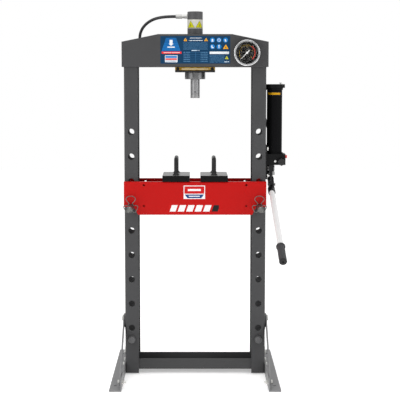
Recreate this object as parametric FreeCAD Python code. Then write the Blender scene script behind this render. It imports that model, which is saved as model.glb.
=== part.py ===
import FreeCAD, Part
import math
import os

from FreeCAD import Vector

# Hydraulic floor press: a welded gantry of two drilled channel posts and a box
# head, a pin-located bed, a spring-return ram and a wall-mounted hand pump.
# Millimetres. X across the front, Y to the back, Z up. The origin is on the
# floor, midway between the posts and at the middle of their depth.

os.makedirs("parts", exist_ok=True)

# ---- Driving dimensions ----

# Posts: folded channels, webs outward, open towards each other
pin_hole_span = 515.0          # between the hole lines of the two posts
post_width = 55.0
post_depth = 116.0
post_wall = 6.0
post_bend = 7.0
post_bottom_z = 4.0
pin_hole_diameter = 26.0
pin_hole_pitch = 100.0
pin_hole_count = 9
first_pin_hole_z = 192.0
stop_stud_z = 146.0
stop_stud_diameter = 28.0
stop_stud_height = 24.0

# Head: two gabled plates, end plates and a bolster
head_bottom_z = 1252.0
head_height = 130.0
head_end_height = 100.0
head_flat_half = 147.0
head_plate = 8.0
head_lip = 22.0
bolster_half = 120.0
bolster_thickness = 16.0

# Ram
cylinder_diameter = 62.0
cylinder_bore = 46.0
cylinder_rise = 80.0           # from the head's top to the top of the cap
cylinder_cap_height = 12.0
ram_diameter = 37.5
ram_bore = 24.0
piston_height = 20.0
ram_show = 76.0                # rod below the lock nut when it is home
tip_height = 17.0
flange_half = 80.0
flange_thickness = 21.0
flange_bolt_size = 12.0
flange_bolt_depth = 16.0
lock_nut_diameter = 83.0
lock_nut_height = 28.0
spring_coil_diameter = 17.0
spring_wire = 2.6
spring_turns = 26

# Bed: two folded beams on two pins
bed_hole_index = 5             # the post hole, from the lowest, that the pins sit in
bed_overhang = 1.0             # of the bed's top past the posts' outer faces
bed_depth = 158.0
bed_wall = 6.0
bed_flange = 18.5
bed_above_pin = 101.0          # pin centre to the top of the bed
bed_below_pin = 33.0
bed_notch_floor = 11.5         # from the notch's side to the pin hole's centre line
bed_skirt_gap = 1.0            # between the bed's skirt and the posts' inner faces
bed_hole_diameter = 9.0
bed_hole_span = 412.0
bed_hole_drop = 84.0
bed_hole_top_margin = 14.0
bed_pin_slack = 1.0            # radial, a bed pin in its hole
bed_pin_nose = 5.0             # chamfer at the front end
bed_pin_front = 120.0          # pin ahead of the post
bed_pin_rear = 36.0            # pin behind the post
pin_clip_wire = 3.2
bed_rib_x = 180.0

# Press plates on the bed
press_plate_length = 109.5
press_plate_gap = 43.5
press_plate_depth = 166.0
press_plate_thickness = 25.0
press_handle_diameter = 16.0
press_handle_rise = 72.0
press_handle_half_span = 58.0

# Lower cross member and feet
tie_bottom_z = 17.5
tie_height = 44.0
tie_wall = 5.0
tie_ear_top_z = 104.0
foot_length = 580.0
foot_leg = 48.0
foot_wall = 5.0
foot_hole_diameter = 14.0
anchor_inset = 63.0            # from the foot's end to the anchor hole
brace_bolt_inset = 38.0        # from the foot's end to the brace's bolt
brace_width = 28.0
brace_thickness = 5.0
brace_top_z = 221.0
brace_top_y = 15.0
brace_foot_z = 27.0
frame_bolt_size = 10.0
tie_bolt_y = 26.0
tie_bolt_z = 84.0
foot_bolt_y = 33.0
foot_bolt_z = 34.0

# Gauge
gauge_inset = 52.0             # from the post's hole line to the gauge's centre
gauge_drop = 75.0              # from the head's top to the gauge's centre
gauge_diameter = 98.0
gauge_depth = 28.0
bezel_diameter = 103.0

# Pump
pump_bracket_thickness = 6.0
pump_bracket_half = 44.0
pump_bolt_size = 8.0
pump_bolt_y = 34.0
pump_block_bottom_z = 857.0
pump_block_height = 44.0
pump_block_width = 75.0
pump_block_depth = 72.0
reservoir_offset = 31.5        # from the bracket to the reservoir's axis
reservoir_diameter = 62.0
reservoir_wall = 2.5
reservoir_height = 267.0
reservoir_cap_diameter = 84.0
reservoir_cap_gap = 1.0        # between the cap's flat side and the post
reservoir_cap_height = 15.0
knob_diameter = 29.0
barrel_diameter = 32.0
barrel_length = 45.0
plunger_diameter = 16.0
plunger_y = 12.0
lever_offset = 18.0            # from the bracket to the plane of plunger, lever and handle
fulcrum_y = -26.0
fulcrum_drop = 80.0            # below the pump block
lever_sweep = 55.0             # degrees, half above and half below level
lever_pin_size = 8.0           # fulcrum pin and plunger cross pin
link_bolt_size = 6.0
link_thickness = 10.0
link_lug_thickness = 4.0
link_lug_height = 26.0
handle_diameter = 22.0
handle_length = 580.0
handle_droop = 19.5            # degrees below level at rest
grip_diameter = 29.0
grip_length = 112.0
socket_diameter = 29.0
socket_length = 36.0
socket_drop = 12.6             # from the fulcrum pin to the socket's axis
socket_reach = 15.0            # from the fulcrum pin to the socket's heel

# Hose
hose_diameter = 12.0

# Named clearances
slide_gap = 0.4                # between pieces that slide past each other
pin_gap = 0.06                 # radial, a turning pin in its hole
bolt_gap = 0.5                 # radial, a bolt in a clearance hole
lever_slot_gap = 0.95          # each side, the cross pin in the lever's slot
seat_gap = 0.1                 # radial, a screwed or pressed seat
cut_over = 2.0                 # how far a cutting tool runs past a face

# ---- Worked-out places ----

hole_x = pin_hole_span / 2
post_outer_x = hole_x + post_width / 2
post_inner_x = hole_x - post_width / 2
post_half_depth = post_depth / 2
post_web_inner_x = post_outer_x - post_wall
bed_half_length = post_outer_x + bed_overhang
bed_skirt_half = post_inner_x - bed_skirt_gap
bed_pin_diameter = pin_hole_diameter - 2 * bed_pin_slack
gauge_x = hole_x - gauge_inset
head_top_z = head_bottom_z + head_height
head_front_y = -post_half_depth - head_plate
post_top_z = head_bottom_z + head_end_height - head_plate
brace_foot_y = foot_length / 2 - brace_bolt_inset
pin_z = first_pin_hole_z + bed_hole_index * pin_hole_pitch
bed_top_z = pin_z + bed_above_pin
bed_bottom_z = pin_z - bed_below_pin
nut_bottom_z = head_bottom_z - flange_thickness - lock_nut_height
cylinder_top_z = head_top_z + cylinder_rise + cylinder_cap_height
port_z = cylinder_top_z - 19.0
gauge_z = head_top_z - gauge_drop
block_x = post_outer_x + pump_bracket_thickness
block_top_z = pump_block_bottom_z + pump_block_height
block_front_y = -pump_block_depth / 2
pump_bracket_bottom_z = pump_block_bottom_z - 58.0
pump_bracket_top_z = block_top_z + 36.0
reservoir_x = block_x + reservoir_offset
lever_x = block_x + lever_offset
fulcrum_z = pump_block_bottom_z - fulcrum_drop

AXIS_X = Vector(1, 0, 0)
AXIS_Y = Vector(0, 1, 0)
AXIS_Z = Vector(0, 0, 1)

# ---- Shape helpers ----


def block(x0, x1, y0, y1, z0, z1):
    """Rectangular block between two corners."""
    return Part.makeBox(x1 - x0, y1 - y0, z1 - z0, Vector(x0, y0, z0))


def rod(start, direction, diameter, length):
    """Round bar from a start point along a direction."""
    return Part.makeCylinder(diameter / 2, length, start, direction)


def bored(shape, start, direction, diameter, length):
    """A shape with a round hole, run past both ends of the stated length."""
    back = Vector(direction).normalize() * cut_over
    return shape.cut(rod(start - back, direction, diameter, length + 2 * cut_over))


def tube(start, direction, outer, inner, length):
    """Round tube."""
    return bored(rod(start, direction, outer, length), start, direction, inner, length)


def plate(points, across, start, thickness):
    """Flat plate: an outline in the plane across one axis, with a thickness along it."""
    places = {"x": lambda a, b: Vector(start, a, b),
              "y": lambda a, b: Vector(a, start, b),
              "z": lambda a, b: Vector(a, b, start)}
    run = {"x": AXIS_X, "y": AXIS_Y, "z": AXIS_Z}[across] * thickness
    corners = [places[across](a, b) for a, b in points]
    return Part.Face(Part.makePolygon(corners + corners[:1])).extrude(run)


def round_edges(shape, radius, wanted):
    """Fillet the edges whose middle point passes a test."""
    edges = [edge for edge in shape.Edges if wanted(edge.CenterOfMass, edge)]
    return shape.makeFillet(radius, edges)


def is_along(edge, axis):
    """True where a straight edge runs along an axis."""
    run = edge.Vertexes[-1].Point - edge.Vertexes[0].Point
    return run.Length > 0 and abs(run.normalize().dot(axis)) > 0.999


def mirrored(shape):
    """The same piece on the other side of the press."""
    return shape.mirror(Vector(0, 0, 0), AXIS_X)


def both_sides(shapes):
    """A list of pieces and their mirror images."""
    return shapes + [mirrored(shape) for shape in shapes]


def fused(shapes):
    """One solid from overlapping shapes."""
    return shapes[0].multiFuse(shapes[1:]).removeSplitter()


def hexagon(start, direction, across_flats, length):
    """Hexagonal bar, as a nut blank or a bolt head."""
    along = Vector(direction).normalize()
    first = along.cross(AXIS_Z if abs(along.z) < 0.9 else AXIS_X).normalize()
    second = along.cross(first)
    radius = across_flats / math.sqrt(3)
    corners = []
    for step in range(6):
        angle = math.radians(60 * step)
        corners.append(start + first * (radius * math.cos(angle)) + second * (radius * math.sin(angle)))
    return Part.Face(Part.makePolygon(corners + corners[:1])).extrude(along * length)


def bolt_and_nut(face, direction, size, grip, tail=0.3):
    """Hex bolt with its head on a face, and its nut at the far side of the grip. The tail
    is the length past the nut, in bolt sizes."""
    along = Vector(direction).normalize()
    bolt_head = 0.65 * size
    nut_height = 0.8 * size
    across_flats = 1.55 * size
    head = hexagon(face - along * bolt_head, along, across_flats, bolt_head)
    bolt = head.fuse(rod(face, along, size, grip + nut_height + tail * size))
    nut_face = face + along * grip
    nut = bored(hexagon(nut_face, along, across_flats, nut_height), nut_face, along,
                size + 2 * seat_gap, nut_height)
    return [bolt, nut]


def bent_tube(name, points, diameter, bend_radius=None):
    """Round bar along straight runs joined by tangent arcs. With no stated bend radius
    each arc takes 0.45 of its shorter run. Prints the arcs' radii and the true length."""
    edges = []
    radii = []
    start = points[0]
    for before, corner, after in zip(points, points[1:], points[2:]):
        arriving = corner - before
        leaving = after - corner
        half_turn = arriving.getAngle(leaving) / 2
        shorter_run = min(arriving.Length, leaving.Length)
        radius = bend_radius or 0.45 * shorter_run / math.tan(half_turn)
        reach = radius * math.tan(half_turn)
        arriving.normalize()
        leaving.normalize()
        inward = (leaving - arriving).normalize()
        middle = corner + inward * (radius / math.cos(half_turn) - radius)
        arc_start = corner - arriving * reach
        arc_end = corner + leaving * reach
        edges.append(Part.LineSegment(start, arc_start).toShape())
        edges.append(Part.Arc(arc_start, middle, arc_end).toShape())
        radii.append(radius)
        start = arc_end
    edges.append(Part.LineSegment(start, points[-1]).toShape())
    path = Part.Wire(edges)
    section = Part.Wire([Part.makeCircle(diameter / 2, points[0], points[1] - points[0])])
    solid = path.makePipeShell([section], True, False)
    expected = math.pi * diameter ** 2 / 4 * path.Length
    print(f"{name}: length {path.Length:.0f} mm, smallest radius {min(radii):.0f} mm, "
          f"volume {solid.Volume / expected:.4f} of section times length")
    return solid


# ---- Frame ----


def make_post():
    """Right post: folded channel with its web outward, drilled through both flanges."""
    post = block(post_inner_x, post_outer_x, -post_half_depth, post_half_depth,
                 post_bottom_z, post_top_z)
    post = round_edges(post, post_bend, lambda middle, edge: is_along(edge, AXIS_Z)
                       and middle.x > post_outer_x - 1)
    hollow = post_half_depth - post_wall
    post = post.cut(block(post_inner_x - cut_over, post_web_inner_x, -hollow, hollow,
                          post_bottom_z - cut_over, post_top_z + cut_over))
    for index in range(pin_hole_count):
        place = Vector(hole_x, -post_half_depth, first_pin_hole_z + index * pin_hole_pitch)
        post = bored(post, place, AXIS_Y, pin_hole_diameter, post_depth)
    for start, size in web_bolts():
        post = bored(post, start, AXIS_X, size + 2 * bolt_gap, post_wall)
    stud = Vector(hole_x, -post_half_depth, stop_stud_z)
    return bored(post, stud, AXIS_Y, stop_stud_diameter / 3, post_wall)


def web_bolts():
    """Places and sizes of every bolt hole through the right post's web."""
    places = tie_bolt_places() + foot_bolt_places() + brace_bolt_places() + pump_bolt_places()
    return [(Vector(post_web_inner_x, y, z), size) for y, z, size in places]


def tie_bolt_places():
    """Bolts that hold the cross member's ears to the web: y, z and size."""
    return [(side * tie_bolt_y, tie_bolt_z, frame_bolt_size) for side in (-1, 1)]


def foot_bolt_places():
    """Bolts that hold the foot angle to the web: y, z and size."""
    return [(side * foot_bolt_y, foot_bolt_z, frame_bolt_size) for side in (-1, 1)]


def brace_bolt_places():
    """Bolts that hold the tops of the braces: y, z and size."""
    return [(side * brace_top_y, brace_top_z, frame_bolt_size) for side in (-1, 1)]


def pump_bolt_places():
    """Bolts that hold the pump bracket: y, z and size."""
    bracket_zs = (pump_bracket_bottom_z + 14.0, pump_bracket_top_z - 14.0)
    return [(side * pump_bolt_y, z, pump_bolt_size) for z in bracket_zs for side in (-1, 1)]


def make_stop_studs():
    """Round-ended studs below the lowest hole, their shanks riveted through the front flange."""
    face = Vector(hole_x, -post_half_depth, stop_stud_z)
    body = rod(face, -AXIS_Y, stop_stud_diameter, stop_stud_height)
    body = round_edges(body, stop_stud_diameter / 4, lambda middle, edge: len(edge.Vertexes) == 1
                       and middle.y < face.y - 1)
    shank = rod(face - AXIS_Y, AXIS_Y, stop_stud_diameter / 3 - 2 * seat_gap, 1 + post_wall)
    return both_sides([fused([body, shank])])


def gable(bottom_z, overhang):
    """Outline of the head's face in X and Z, level in the middle and sloped to the ends."""
    end_x = post_outer_x + overhang
    end_z = head_bottom_z + head_end_height
    return [(-end_x, bottom_z), (end_x, bottom_z), (end_x, end_z), (head_flat_half, head_top_z),
            (-head_flat_half, head_top_z), (-end_x, end_z)]


def make_head_front():
    """Gabled front plate with its lower edge folded in between the posts."""
    face = plate(gable(head_bottom_z, head_plate), "y", head_front_y, head_plate)
    lip_end = post_inner_x - slide_gap
    lip = block(-lip_end, lip_end, head_front_y, -post_half_depth + head_lip,
                head_bottom_z, head_bottom_z + head_plate)
    folded = face.fuse(lip).removeSplitter()
    folded = round_edges(folded, 2.5, lambda middle, edge: abs(middle.y - head_front_y) < 0.01)
    stem = Vector(gauge_x, head_front_y, gauge_z)
    folded = bored(folded, stem, AXIS_Y, 16.0 + 2 * bolt_gap, head_plate)
    return drill_head(folded)


def flange_bolt_places():
    """Bolts that hang the cylinder's flange from the head: x and y."""
    y = post_half_depth - head_lip / 2 - 1.0
    return [(side_x * 50.0, side_y * y) for side_x in (-1, 1) for side_y in (-1, 1)]


def drill_head(shape):
    """Clearance holes for the flange bolts and the cylinder, through the lips and the bolster."""
    depth = head_plate + bolster_thickness
    for x, y in flange_bolt_places():
        shape = bored(shape, Vector(x, y, head_bottom_z), AXIS_Z, flange_bolt_size + 2 * bolt_gap, depth)
    return bored(shape, Vector(0, 0, head_bottom_z), AXIS_Z, cylinder_diameter + 2 * bolt_gap, depth)


def make_head_rear():
    """Plain gabled rear plate, folded in like the front one."""
    face = plate(gable(head_bottom_z, head_plate), "y", post_half_depth, head_plate)
    lip_end = post_inner_x - slide_gap
    lip = block(-lip_end, lip_end, post_half_depth - head_lip, post_half_depth + head_plate,
                head_bottom_z, head_bottom_z + head_plate)
    folded = face.fuse(lip).removeSplitter()
    rear_y = post_half_depth + head_plate
    folded = round_edges(folded, 2.5, lambda middle, edge: abs(middle.y - rear_y) < 0.01)
    return drill_head(folded)


def make_head_end():
    """End plate that closes the head outside the right post."""
    return block(post_outer_x, post_outer_x + head_plate, -post_half_depth, post_half_depth,
                 head_bottom_z, head_bottom_z + head_end_height - head_plate)


def make_bolster():
    """Thick plate on the head's lips, bored for the cylinder."""
    bottom = head_bottom_z + head_plate
    bolster = block(-bolster_half, bolster_half, -post_half_depth, post_half_depth,
                    bottom, bottom + bolster_thickness)
    return drill_head(bolster)


def make_tie():
    """Lower cross member: a channel open upwards, with an ear at each end on the post's web."""
    half_y = post_half_depth - post_wall - 0.5
    end_x = post_web_inner_x
    top_z = tie_bottom_z + tie_height
    tie = block(-end_x, end_x, -half_y, half_y, tie_bottom_z, top_z)
    tie = round_edges(tie, post_bend, lambda middle, edge: is_along(edge, AXIS_X)
                      and middle.z < tie_bottom_z + 1)
    tie = tie.cut(block(-end_x + tie_wall, end_x - tie_wall, -half_y + tie_wall, half_y - tie_wall,
                        tie_bottom_z + tie_wall, top_z + cut_over))
    ear = block(end_x - tie_wall, end_x, -half_y + tie_wall, half_y - tie_wall,
                top_z - tie_wall, tie_ear_top_z)
    tie = fused([tie] + both_sides([ear]))
    for y, z, size in tie_bolt_places() + foot_bolt_places():
        start = Vector(-end_x, y, z)
        tie = bored(tie, start, AXIS_X, size + 2 * bolt_gap, 2 * end_x)
    return tie


def make_foot():
    """Right foot: an angle, one leg on the post's web and one flat on the floor."""
    x = post_outer_x
    half = foot_length / 2
    foot = block(x, x + foot_leg, -half, half, 0, foot_leg)
    foot = foot.cut(block(x + foot_wall, x + foot_leg + cut_over, -half - cut_over, half + cut_over,
                          foot_wall, foot_leg + cut_over))
    for side in (-1, 1):
        anchor = Vector(foot_hole_x(), side * (half - anchor_inset), 0)
        foot = bored(foot, anchor, AXIS_Z, foot_hole_diameter, foot_wall)
        foot = bored(foot, Vector(x, side * brace_foot_y, brace_foot_z), AXIS_X,
                     frame_bolt_size + 2 * bolt_gap, foot_wall)
    for y, z, size in foot_bolt_places():
        foot = bored(foot, Vector(x, y, z), AXIS_X, size + 2 * bolt_gap, foot_wall)
    return foot


def foot_hole_x():
    """Anchor holes lie in the middle of the flat leg outside the brace."""
    return post_outer_x + (foot_leg + foot_wall) / 2


def make_brace_bracket():
    """Spacer plate that holds the braces' tops off the right post."""
    bracket = block(post_outer_x, post_outer_x + foot_wall, -35, 35, brace_top_z - 31, brace_top_z + 15)
    for y, z, size in brace_bolt_places():
        bracket = bored(bracket, Vector(post_outer_x, y, z), AXIS_X, size + 2 * bolt_gap, foot_wall)
    return bracket


def make_brace(side):
    """Flat diagonal from the bracket to one end of the right foot."""
    x = post_outer_x + foot_wall
    top = Vector(x, side * brace_top_y, brace_top_z)
    bottom = Vector(x, side * brace_foot_y, brace_foot_z)
    run = bottom - top
    across = run.cross(AXIS_X).normalize() * (brace_width / 2)
    corners = [top + across, bottom + across, bottom - across, top - across]
    bar = Part.Face(Part.makePolygon(corners + corners[:1])).extrude(AXIS_X * brace_thickness)
    ends = [rod(place, AXIS_X, brace_width, brace_thickness) for place in (top, bottom)]
    brace = fused([bar] + ends)
    for place in (top, bottom):
        brace = bored(brace, place, AXIS_X, frame_bolt_size + 2 * bolt_gap, brace_thickness)
    return brace


def make_frame_bolts():
    """Equal bolts and nuts of the cross member, the feet and the braces."""
    web_grip = post_wall + tie_wall
    bolts = []
    for y, z, size in tie_bolt_places():
        face = Vector(post_outer_x, y, z)
        bolts += bolt_and_nut(face, -AXIS_X, size, web_grip)
    for y, z, size in foot_bolt_places():
        face = Vector(post_outer_x + foot_wall, y, z)
        bolts += bolt_and_nut(face, -AXIS_X, size, web_grip + foot_wall)
    brace_face = post_outer_x + foot_wall + brace_thickness
    for y, z, size in brace_bolt_places():
        grip = brace_thickness + foot_wall + post_wall
        bolts += bolt_and_nut(Vector(brace_face, y, z), -AXIS_X, size, grip)
    for side in (-1, 1):
        face = Vector(brace_face, side * brace_foot_y, brace_foot_z)
        bolts += bolt_and_nut(face, -AXIS_X, frame_bolt_size, brace_thickness + foot_wall, tail=0.8)
    return both_sides(bolts)


# ---- Ram ----


def make_cylinder():
    """Ram cylinder: thick tube with a guide for the rod at its lower end."""
    length = cylinder_top_z - cylinder_cap_height - nut_bottom_z
    start = Vector(0, 0, nut_bottom_z)
    guide = 22.0
    shell = rod(start, AXIS_Z, cylinder_diameter, length)
    shell = shell.cut(rod(start + AXIS_Z * guide, AXIS_Z, cylinder_bore, length))
    shell = bored(shell, start, AXIS_Z, ram_diameter + 2 * pin_gap, guide)
    side_port = Vector(-cylinder_diameter / 2, 0, port_z)
    shell = bored(shell, side_port, AXIS_X, 10.0, cylinder_diameter / 2 - 10.0)
    gauge_port = Vector(cylinder_bore / 2 - cut_over, 0, gauge_z)
    return shell.cut(rod(gauge_port, AXIS_X, 5.0, cylinder_diameter))


def make_cylinder_cap():
    """Screwed top cap with an eye for the return spring."""
    bottom = cylinder_top_z - cylinder_cap_height
    cap = rod(Vector(0, 0, bottom), AXIS_Z, cylinder_diameter, cylinder_cap_height)
    cap = round_edges(cap, 2.0, lambda middle, edge: middle.z > cylinder_top_z - 0.1
                      and len(edge.Vertexes) == 1)
    spigot = rod(Vector(0, 0, bottom - 8.0), AXIS_Z, cylinder_bore - 2 * seat_gap, 8.0)
    stem = rod(Vector(0, 0, bottom - 16.0), AXIS_Z, 8.0, 10.0)
    return fused([cap, spigot, stem])


def rod_top_z():
    """Top of the piston when the ram is home."""
    return cylinder_top_z - cylinder_cap_height - 30.0


def make_ram_rod():
    """Hollow chromed rod from the piston down to the tip."""
    bottom = nut_bottom_z - ram_show + tip_height
    length = rod_top_z() - bottom
    start = Vector(0, 0, bottom)
    ram = rod(start, AXIS_Z, ram_diameter, length)
    floor = 24.0
    ram = ram.cut(rod(start + AXIS_Z * floor, AXIS_Z, ram_bore, length))
    pinhole = Vector(0, -ram_diameter / 2, bottom + 8.0)
    return bored(ram, pinhole, AXIS_Y, 5.0, ram_diameter / 2 - 2 * cut_over)


def make_piston():
    """Piston ring on the rod's top, with a groove for its seal."""
    bottom = rod_top_z() - piston_height
    piston = tube(Vector(0, 0, bottom), AXIS_Z, cylinder_bore - 2 * pin_gap,
                  ram_diameter + 2 * seat_gap, piston_height)
    groove = tube(Vector(0, 0, bottom + 7.0), AXIS_Z, cylinder_bore + cut_over,
                  cylinder_bore - 5.0, 6.0)
    return piston.cut(groove)


def make_piston_seal():
    """Seal ring in the piston's groove."""
    bottom = rod_top_z() - piston_height + 7.0 + seat_gap
    return tube(Vector(0, 0, bottom), AXIS_Z, cylinder_bore - 2 * pin_gap,
                cylinder_bore - 5.0 + 2 * seat_gap, 6.0 - 2 * seat_gap)


def make_ram_tip():
    """Turned pad that caps the rod's lower end."""
    bottom = nut_bottom_z - ram_show
    tip = rod(Vector(0, 0, bottom), AXIS_Z, ram_diameter, tip_height)
    tip = round_edges(tip, 1.2, lambda middle, edge: len(edge.Vertexes) == 1)
    return tip


def make_return_spring():
    """Extension spring inside the rod, from the cap's stem to the rod's floor."""
    bottom = nut_bottom_z - ram_show + tip_height + 24.0 + spring_wire
    top = cylinder_top_z - cylinder_cap_height - 17.0 - spring_wire
    pitch = (top - bottom) / spring_turns
    helix = Part.makeHelix(pitch, top - bottom, spring_coil_diameter / 2)
    start = Vector(spring_coil_diameter / 2, 0, 0)
    section = Part.Wire([Part.makeCircle(spring_wire / 2, start, AXIS_Y)])
    spring = Part.Wire(helix.Edges).makePipeShell([section], True, True)
    spring.translate(Vector(0, 0, bottom))
    return spring


def make_flange():
    """Square flange that hangs the cylinder under the head."""
    bottom = head_bottom_z - flange_thickness
    flange = block(-flange_half, flange_half, -post_half_depth, post_half_depth,
                   bottom, head_bottom_z)
    flange = round_edges(flange, 3.0, lambda middle, edge: is_along(edge, AXIS_Z))
    flange = bored(flange, Vector(0, 0, bottom), AXIS_Z, cylinder_diameter + 2 * seat_gap,
                   flange_thickness)
    for x in strap_screw_xs():
        hole = Vector(x, -post_half_depth, strap_z())
        flange = flange.cut(rod(hole, AXIS_Y, 8.0 + 2 * seat_gap, 20.0))
    for x, y in flange_bolt_places():
        blind = Vector(x, y, head_bottom_z - flange_bolt_depth)
        flange = flange.cut(rod(blind, AXIS_Z, flange_bolt_size + 2 * seat_gap, flange_bolt_depth))
    return flange


def strap_screw_xs():
    """Screws at the strap's two ends."""
    return (-flange_half + 11.0, flange_half - 11.0)


def strap_z():
    """Height of the strap's middle line on the flange."""
    return head_bottom_z - flange_thickness / 2 + 2.0


def make_flange_strap():
    """Plated strap on the flange's front: flat ends and a raised middle."""
    face = -post_half_depth
    z = strap_z()
    ends = block(-flange_half, flange_half, face - 3.0, face, z - 7.0, z + 7.0)
    bar = block(-54, 54, face - 7.0, face - 2.0, z - 4.5, z + 4.5)
    bar = round_edges(bar, 2.0, lambda middle, edge: middle.y < face - 6.9)
    strap = ends.fuse(bar).removeSplitter()
    for x in strap_screw_xs():
        strap = bored(strap, Vector(x, face - 8, z), AXIS_Y, 8.0 + 2 * bolt_gap, 8.0)
    return strap


def make_strap_screws():
    """Two socket-head screws through the strap into the flange."""
    screws = []
    for x in strap_screw_xs():
        face = Vector(x, -post_half_depth - 3.0, strap_z())
        screw = rod(face - AXIS_Y * 7.0, AXIS_Y, 13.0, 7.0).fuse(rod(face, AXIS_Y, 8.0, 20.0))
        screws.append(screw.cut(hexagon(face - AXIS_Y * 8.0, AXIS_Y, 6.0, 5.0)))
    return screws


def make_lock_nut():
    """Slotted round nut that clamps the cylinder to its flange."""
    start = Vector(0, 0, nut_bottom_z)
    nut = tube(start, AXIS_Z, lock_nut_diameter, cylinder_diameter + 2 * seat_gap, lock_nut_height)
    nut = round_edges(nut, 2.0, lambda middle, edge: len(edge.Vertexes) == 1
                      and edge.Length > math.pi * (lock_nut_diameter - 1))
    slot = block(lock_nut_diameter / 2 - 5.0, lock_nut_diameter, -4.5, 4.5,
                 nut_bottom_z + 9.0, nut_bottom_z + lock_nut_height + cut_over)
    for step in range(6):
        turned = slot.copy()
        turned.rotate(Vector(0, 0, 0), AXIS_Z, 60 * step + 22.0)
        nut = nut.cut(turned)
    return nut


def make_flange_bolts():
    """Four bolts down through bolster and lip, screwed into the flange from above."""
    grip = head_plate + bolster_thickness
    bolts = []
    for x, y in flange_bolt_places():
        foot = Vector(x, y, head_bottom_z - flange_bolt_depth)
        shank = rod(foot, AXIS_Z, flange_bolt_size, flange_bolt_depth + grip)
        head = hexagon(foot + AXIS_Z * (flange_bolt_depth + grip), AXIS_Z, 1.58 * flange_bolt_size, 7.5)
        bolts.append(shank.fuse(head))
    return bolts


# ---- Gauge ----


def make_gauge():
    """Pressure gauge on the head's face, piped to the cylinder. Returns its nodes."""
    back = head_front_y
    front = back - gauge_depth
    centre = Vector(gauge_x, 0, gauge_z)
    floor = 3.0
    rim = 3.0

    def disc(y0, y1, diameter):
        return rod(Vector(centre.x, y0, centre.z), AXIS_Y, diameter, y1 - y0)

    case = disc(front, back, gauge_diameter).cut(
        disc(front - cut_over, back - floor, gauge_diameter - 2 * rim))
    case = bored(case, Vector(centre.x, back - floor, centre.z), AXIS_Y, 14.0 + 2 * seat_gap, floor)
    ledge = disc(front + 9.0, front + 11.0, gauge_diameter - 2 * rim).cut(
        disc(front + 8.0, front + 12.0, gauge_diameter - 2 * rim - 8.0))
    case = case.fuse(ledge).removeSplitter()
    dial = disc(front + 8.0, front + 9.0, gauge_diameter - 2 * rim - 2 * slide_gap)
    dial = bored(dial, Vector(centre.x, front + 8.0, centre.z), AXIS_Y, 4.0, 1.0)
    dial = dial.cut(disc(front + 8.0, front + 9.0, 3.0))
    lens = disc(front - 1.0, front + 1.5, gauge_diameter - 2 * rim - 2 * slide_gap)
    bezel = disc(front - 4.0, front + 9.0, bezel_diameter).cut(
        disc(front - 1.0 - seat_gap, front + 10.0, gauge_diameter + 2 * seat_gap))
    bezel = bezel.cut(disc(front - 5.0, front, 88.0))
    bezel = round_edges(bezel, 2.0, lambda middle, edge: middle.y < front - 3.9
                        and edge.Length > math.pi * 100)
    stem_end = -post_half_depth + 10.0
    stem = disc(back - floor - 12.0, stem_end, 14.0)
    adapter = hexagon(Vector(centre.x, stem_end, centre.z), AXIS_Y, 20.0, 22.0)
    pipe_y = stem_end + 11.0
    socket_point = Vector(centre.x - 5.0, pipe_y, centre.z)
    adapter = adapter.cut(rod(socket_point, -AXIS_X, 6.0 + 2 * seat_gap, 20.0))
    tube_ring = 26.0
    bourdon = Part.makeTorus(tube_ring, 2.6, Vector(centre.x, front + 15.0, centre.z), AXIS_Y,
                             -180, 180, 255)
    spoke = rod(Vector(centre.x, front + 15.0, centre.z), AXIS_X, 5.0, tube_ring)
    hub = rod(Vector(centre.x, front + 12.0, centre.z), AXIS_Y, 14.0, 1.0)
    movement = fused([bourdon, spoke, hub])
    return {"gauge_case": [case], "gauge_dial": [dial], "gauge_lens": [lens], "gauge_bezel": [bezel],
            "gauge_stem": [stem, adapter], "gauge_bourdon_tube": [movement],
            "gauge_pointer": [make_pointer(front)], "gauge_pipe": make_gauge_pipe(pipe_y)}


def make_pointer(front):
    """Needle on its spindle, at rest against zero at the lower left."""
    needle = plate([(-2.6, -14), (2.6, -14), (1.6, 0), (0.4, 38), (-0.4, 38), (-1.6, 0)],
                   "y", front + 4.5, 1.2)
    boss = rod(Vector(0, front + 3.5, 0), AXIS_Y, 9.0, 3.2)
    spindle = rod(Vector(0, front + 5.0, 0), AXIS_Y, 3.0 - 2 * pin_gap, 5.5)
    pointer = fused([needle, boss, spindle])
    pointer.rotate(Vector(0, 0, 0), AXIS_Y, -135)
    pointer.translate(Vector(gauge_x, 0, gauge_z))
    return pointer


def make_gauge_pipe(pipe_y):
    """Steel pipe from the cylinder's gauge port to the adapter, and its port nut."""
    start_x = cylinder_diameter / 2
    port = Vector(start_x, 0, gauge_z)
    nut = hexagon(port + AXIS_X * 0.1, AXIS_X, 14.0, 14.0)
    nut = nut.cut(rod(port + AXIS_X * 8.0, AXIS_X, 6.0 + 2 * seat_gap, 14.0))
    route = [port + AXIS_X * 8.5, port + AXIS_X * 44.0,
             Vector(start_x + 84.0, pipe_y, gauge_z), Vector(gauge_x - 6.0, pipe_y, gauge_z)]
    return [bent_tube("gauge_pipe", route, 6.0, bend_radius=30.0), nut]


# ---- Hose ----

# From the cylinder's port, around the head's left side and along its back
hose_from_port = [(-47, 0, 0), (-85, 0, 0), (-132, 14, -7), (-166, 36, -24), (-189, 60, -49),
                  (-199, 79, -81), (-191, 88, -119), (-172, 92, -151), (-137, 93, -172),
                  (-85, 93, -179), (1, 95, -181), (95, 94, -175), (167, 93, -165)]
# Over the right post's back: across from its outer face, down from the port
hose_over_post = [(-95, 92, -163), (-53, 93, -177), (-29, 94, -211), (-21, 96, -259)]
# Down to the pump: across from the post's outer face, up from the block's top
hose_to_pump = [(-17, 98, 235), (-6, 97, 175), (12, 88, 117), (27, 71, 75), (33, 56, 40), (33, 56, 7)]


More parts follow.
